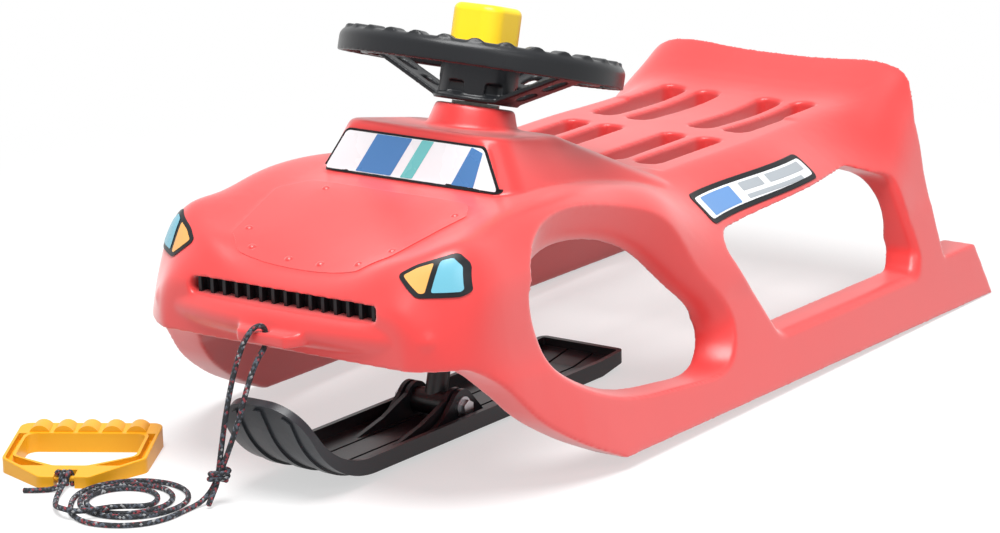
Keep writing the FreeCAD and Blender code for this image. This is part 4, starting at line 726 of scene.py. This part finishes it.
def inside(point, outline):
    """Whether a point lies inside a closed outline, seen from above."""
    hit = False
    for start, end in sides_of(outline):
        if (start.y > point.y) != (end.y > point.y):
            if point.x < start.x + (point.y - start.y) * (end.x - start.x) / (end.y - start.y):
                hit = not hit
    return hit


def dense(outline, step):
    points = []
    for start, end in sides_of(outline):
        parts = max(1, math.ceil((end - start).length / step))
        points += [start.lerp(end, index / parts) for index in range(parts)]
    return points


def rounded(outline, radius):
    """A flat outline with its corners rounded."""
    points = []
    for index, corner in enumerate(outline):
        before = outline[index - 1] - corner
        after = outline[(index + 1) % len(outline)] - corner
        reach = min(radius, before.length * CORNER_REACH_SHARE, after.length * CORNER_REACH_SHARE)
        start = corner + before.normalized() * reach
        end = corner + after.normalized() * reach
        for step in range(CORNER_STEPS + 1):
            share = step / CORNER_STEPS
            points.append(start * (1 - share) ** 2 + corner * 2 * share * (1 - share) + end * share ** 2)
    return points


def shrunk(outline, amount):
    """A flat outline moved inwards by an even amount, whichever way round it runs."""
    area = sum(start.x * end.y - end.x * start.y for start, end in sides_of(outline))
    sign = 1 if area > 0 else -1
    moved = []
    for index, corner in enumerate(outline):
        before = (corner - outline[index - 1]).normalized()
        after = (outline[(index + 1) % len(outline)] - corner).normalized()
        first = Vector((-before.y, before.x)) * sign
        second = Vector((-after.y, after.x)) * sign
        bisector = (first + second).normalized()
        moved.append(corner + bisector * (amount / max(SHARPEST_SHARE, bisector.dot(first))))
    return moved


# Printed films laid on the moulded body
def surface_of(piece):
    data = piece.data
    places = [vertex.co for vertex in data.vertices]
    return BVHTree.FromPolygons(places, [face.vertices for face in data.polygons])


def first_hit(surfaces, start, look):
    """Where a ray first meets one of the surfaces, and the normal there, or None twice."""
    hits = [surface.ray_cast(start, look) for surface in surfaces]
    hits = [hit for hit in hits if hit[0] is not None]
    if not hits:
        return None, None
    place, normal, _, _ = min(hits, key=lambda hit: hit[3])
    return place, normal


def film_cells(outline):
    """A flat outline filled with small triangles: their corners and, for each, the three it joins."""
    border = dense(outline, FILM_CELL)
    spots = list(border)
    low = Vector((min(edge.x for edge in border), min(edge.y for edge in border)))
    high = Vector((max(edge.x for edge in border), max(edge.y for edge in border)))
    start = low + Vector((FILM_CELL, FILM_CELL)) * CELL_START_SHARE
    for column in range(int((high.x - low.x) / FILM_CELL) + 1):
        for row in range(int((high.y - low.y) / FILM_CELL) + 1):
            spot = start + Vector((column, row)) * FILM_CELL
            room = min((spot - edge).length for edge in border)
            if inside(spot, border) and room > FILM_CELL * RIM_ROOM_SHARE:
                spots.append(spot)
    edges = [(index, (index + 1) % len(border)) for index in range(len(border))]
    whole = [list(range(len(border)))]
    laid, _, faces, _, _, _ = delaunay_2d_cdt(spots, edges, whole, FILL_INSIDE, FILM_WELD)
    return laid, faces


def film_mesh(surfaces, outline, view, lift, skirt):
    """A thin printed film: a flat outline cast along a direction onto its panel and the skin round it."""
    base, across, up, look = view
    spots, faces = film_cells(outline)
    mesh = bmesh.new()
    tops = []
    for spot in spots:
        start = base + across * spot.x + up * spot.y
        place, normal = first_hit(surfaces, start, look)
        if place is None:
            place, normal, _, _ = surfaces[0].find_nearest(start)
        tops.append(mesh.verts.new(place + normal * lift))
    for face in faces:
        mesh.faces.new([tops[index] for index in face]).smooth = True
    rim = [edge for edge in mesh.edges if edge.is_boundary]
    for edge in rim:
        edge.smooth = False
    grown = bmesh.ops.extrude_edge_only(mesh, edges=rim)
    hem = {part for part in grown["geom"] if isinstance(part, bmesh.types.BMVert)}
    for vertex in hem:
        vertex.co += look * skirt
    bmesh.ops.recalc_face_normals(mesh, faces=mesh.faces)
    return mesh


def print_layers(skin, node, view, layers):
    """Films laid on a CAD panel, the motifs on one level; the lowest film stands for the panel."""
    surfaces = (surface_of(nodes[node]), skin)
    for index, (name, outline, material) in enumerate(layers):
        lift = FILM_LIFT + FILM_STEP * min(index, FILM_LEVELS)
        skirt = FILM_STEP if index else FILM_SKIRT
        piece = body_piece(name, film_mesh(surfaces, outline, view, lift, skirt), material)
        if index == 0:
            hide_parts(node)


def level_direction(x, y, z):
    return (body_point(x * 1000, y * 1000, z * 1000) - body_point(0, 0, 0)).normalized()


def add_windscreen(skin, view):
    whole = metres(SCREEN)
    tints = {"deep": print_deep, "teal": print_teal}
    layers = [("windscreen_edge", rounded(whole, SCREEN_CORNER), print_black),
              ("windscreen_tint", rounded(shrunk(whole, SCREEN_RIM), FIELD_CORNER), print_pale)]
    for name, tint, points in SCREEN_BANDS:
        layers.append((name, rounded(metres(points), BAND_CORNER), tints[tint]))
    print_layers(skin, "windscreen_panel", view, layers)


def add_headlight(skin, view, node, side):
    def mirrored(points):
        return metres([(x * side, z) for x, z in points])

    print_layers(skin, node, view, [
        (node + "_edge", rounded(mirrored(LAMP), LAMP_CORNER), print_black),
        (node + "_amber_lens", rounded(mirrored(LAMP_AMBER), LENS_CORNER), print_amber),
        (node + "_pale_lens", rounded(mirrored(LAMP_PALE), LENS_CORNER), print_blue)])


def add_side_label(skin, view):
    whole = metres(LABEL)
    layers = [("side_label_edge", rounded(whole, LABEL_CORNER), print_black),
              ("side_label_field", rounded(shrunk(whole, LABEL_RIM), FIELD_CORNER), print_white),
              ("side_label_block", rounded(metres(LABEL_BLOCK), BLOCK_CORNER), print_label)]
    for name, points in LABEL_BARS:
        layers.append((name, rounded(metres(points), BAND_CORNER), print_grey))
    print_layers(skin, "side_label", view, layers)


def add_prints(skin):
    ahead = level_direction(0, 1, 0)
    upright = level_direction(0, 0, 1)
    right = Vector((1, 0, 0))
    from_front = (body_point(0, FRONT_START_Y, 0), right, upright, ahead)
    from_side = (body_point(SIDE_START_X, 0, 0), ahead, upright, -right)
    add_windscreen(skin, from_front)
    add_headlight(skin, from_front, "left_headlight", 1)
    add_headlight(skin, from_front, "right_headlight", -1)
    add_side_label(skin, from_side)


def add_bonnet_panel():
    """The raised bonnet panel with its rivets, crisp as in the CAD shell, laid over the softened skin."""
    outline = [body_point(x, y, BONNET_HEIGHT).to_2d() for x, y in BONNET]
    outline = shrunk(outline, -BONNET_MARGIN)
    foot = body_point(0, 0, BONNET_LOW).z
    mesh = bmesh.new()
    mesh.from_mesh(nodes["body_shell"].data)
    away = []
    for face in mesh.faces:
        if not all(vertex.co.z > foot and inside(vertex.co, outline) for vertex in face.verts):
            away.append(face)
    bmesh.ops.delete(mesh, geom=away, context="FACES")
    for vertex in mesh.verts:
        vertex.co.z += BONNET_LIFT
    bmesh.ops.remove_doubles(mesh, verts=mesh.verts, dist=BONNET_WELD)
    for face in mesh.faces:
        face.smooth = True
    for edge in mesh.edges:
        edge.smooth = edge.calc_face_angle(0) < BONNET_CREASE
    body_piece("bonnet_panel", mesh, red)


add_camera()
add_world()
add_floor()
for name, place, size, power in LIGHTS:
    add_light(name, place, size, power)
scene.view_settings.view_transform = "Standard"
add_cords()
moulded_wheel()
body_skin = moulded_body()
add_bonnet_panel()
add_prints(surface_of(body_skin))
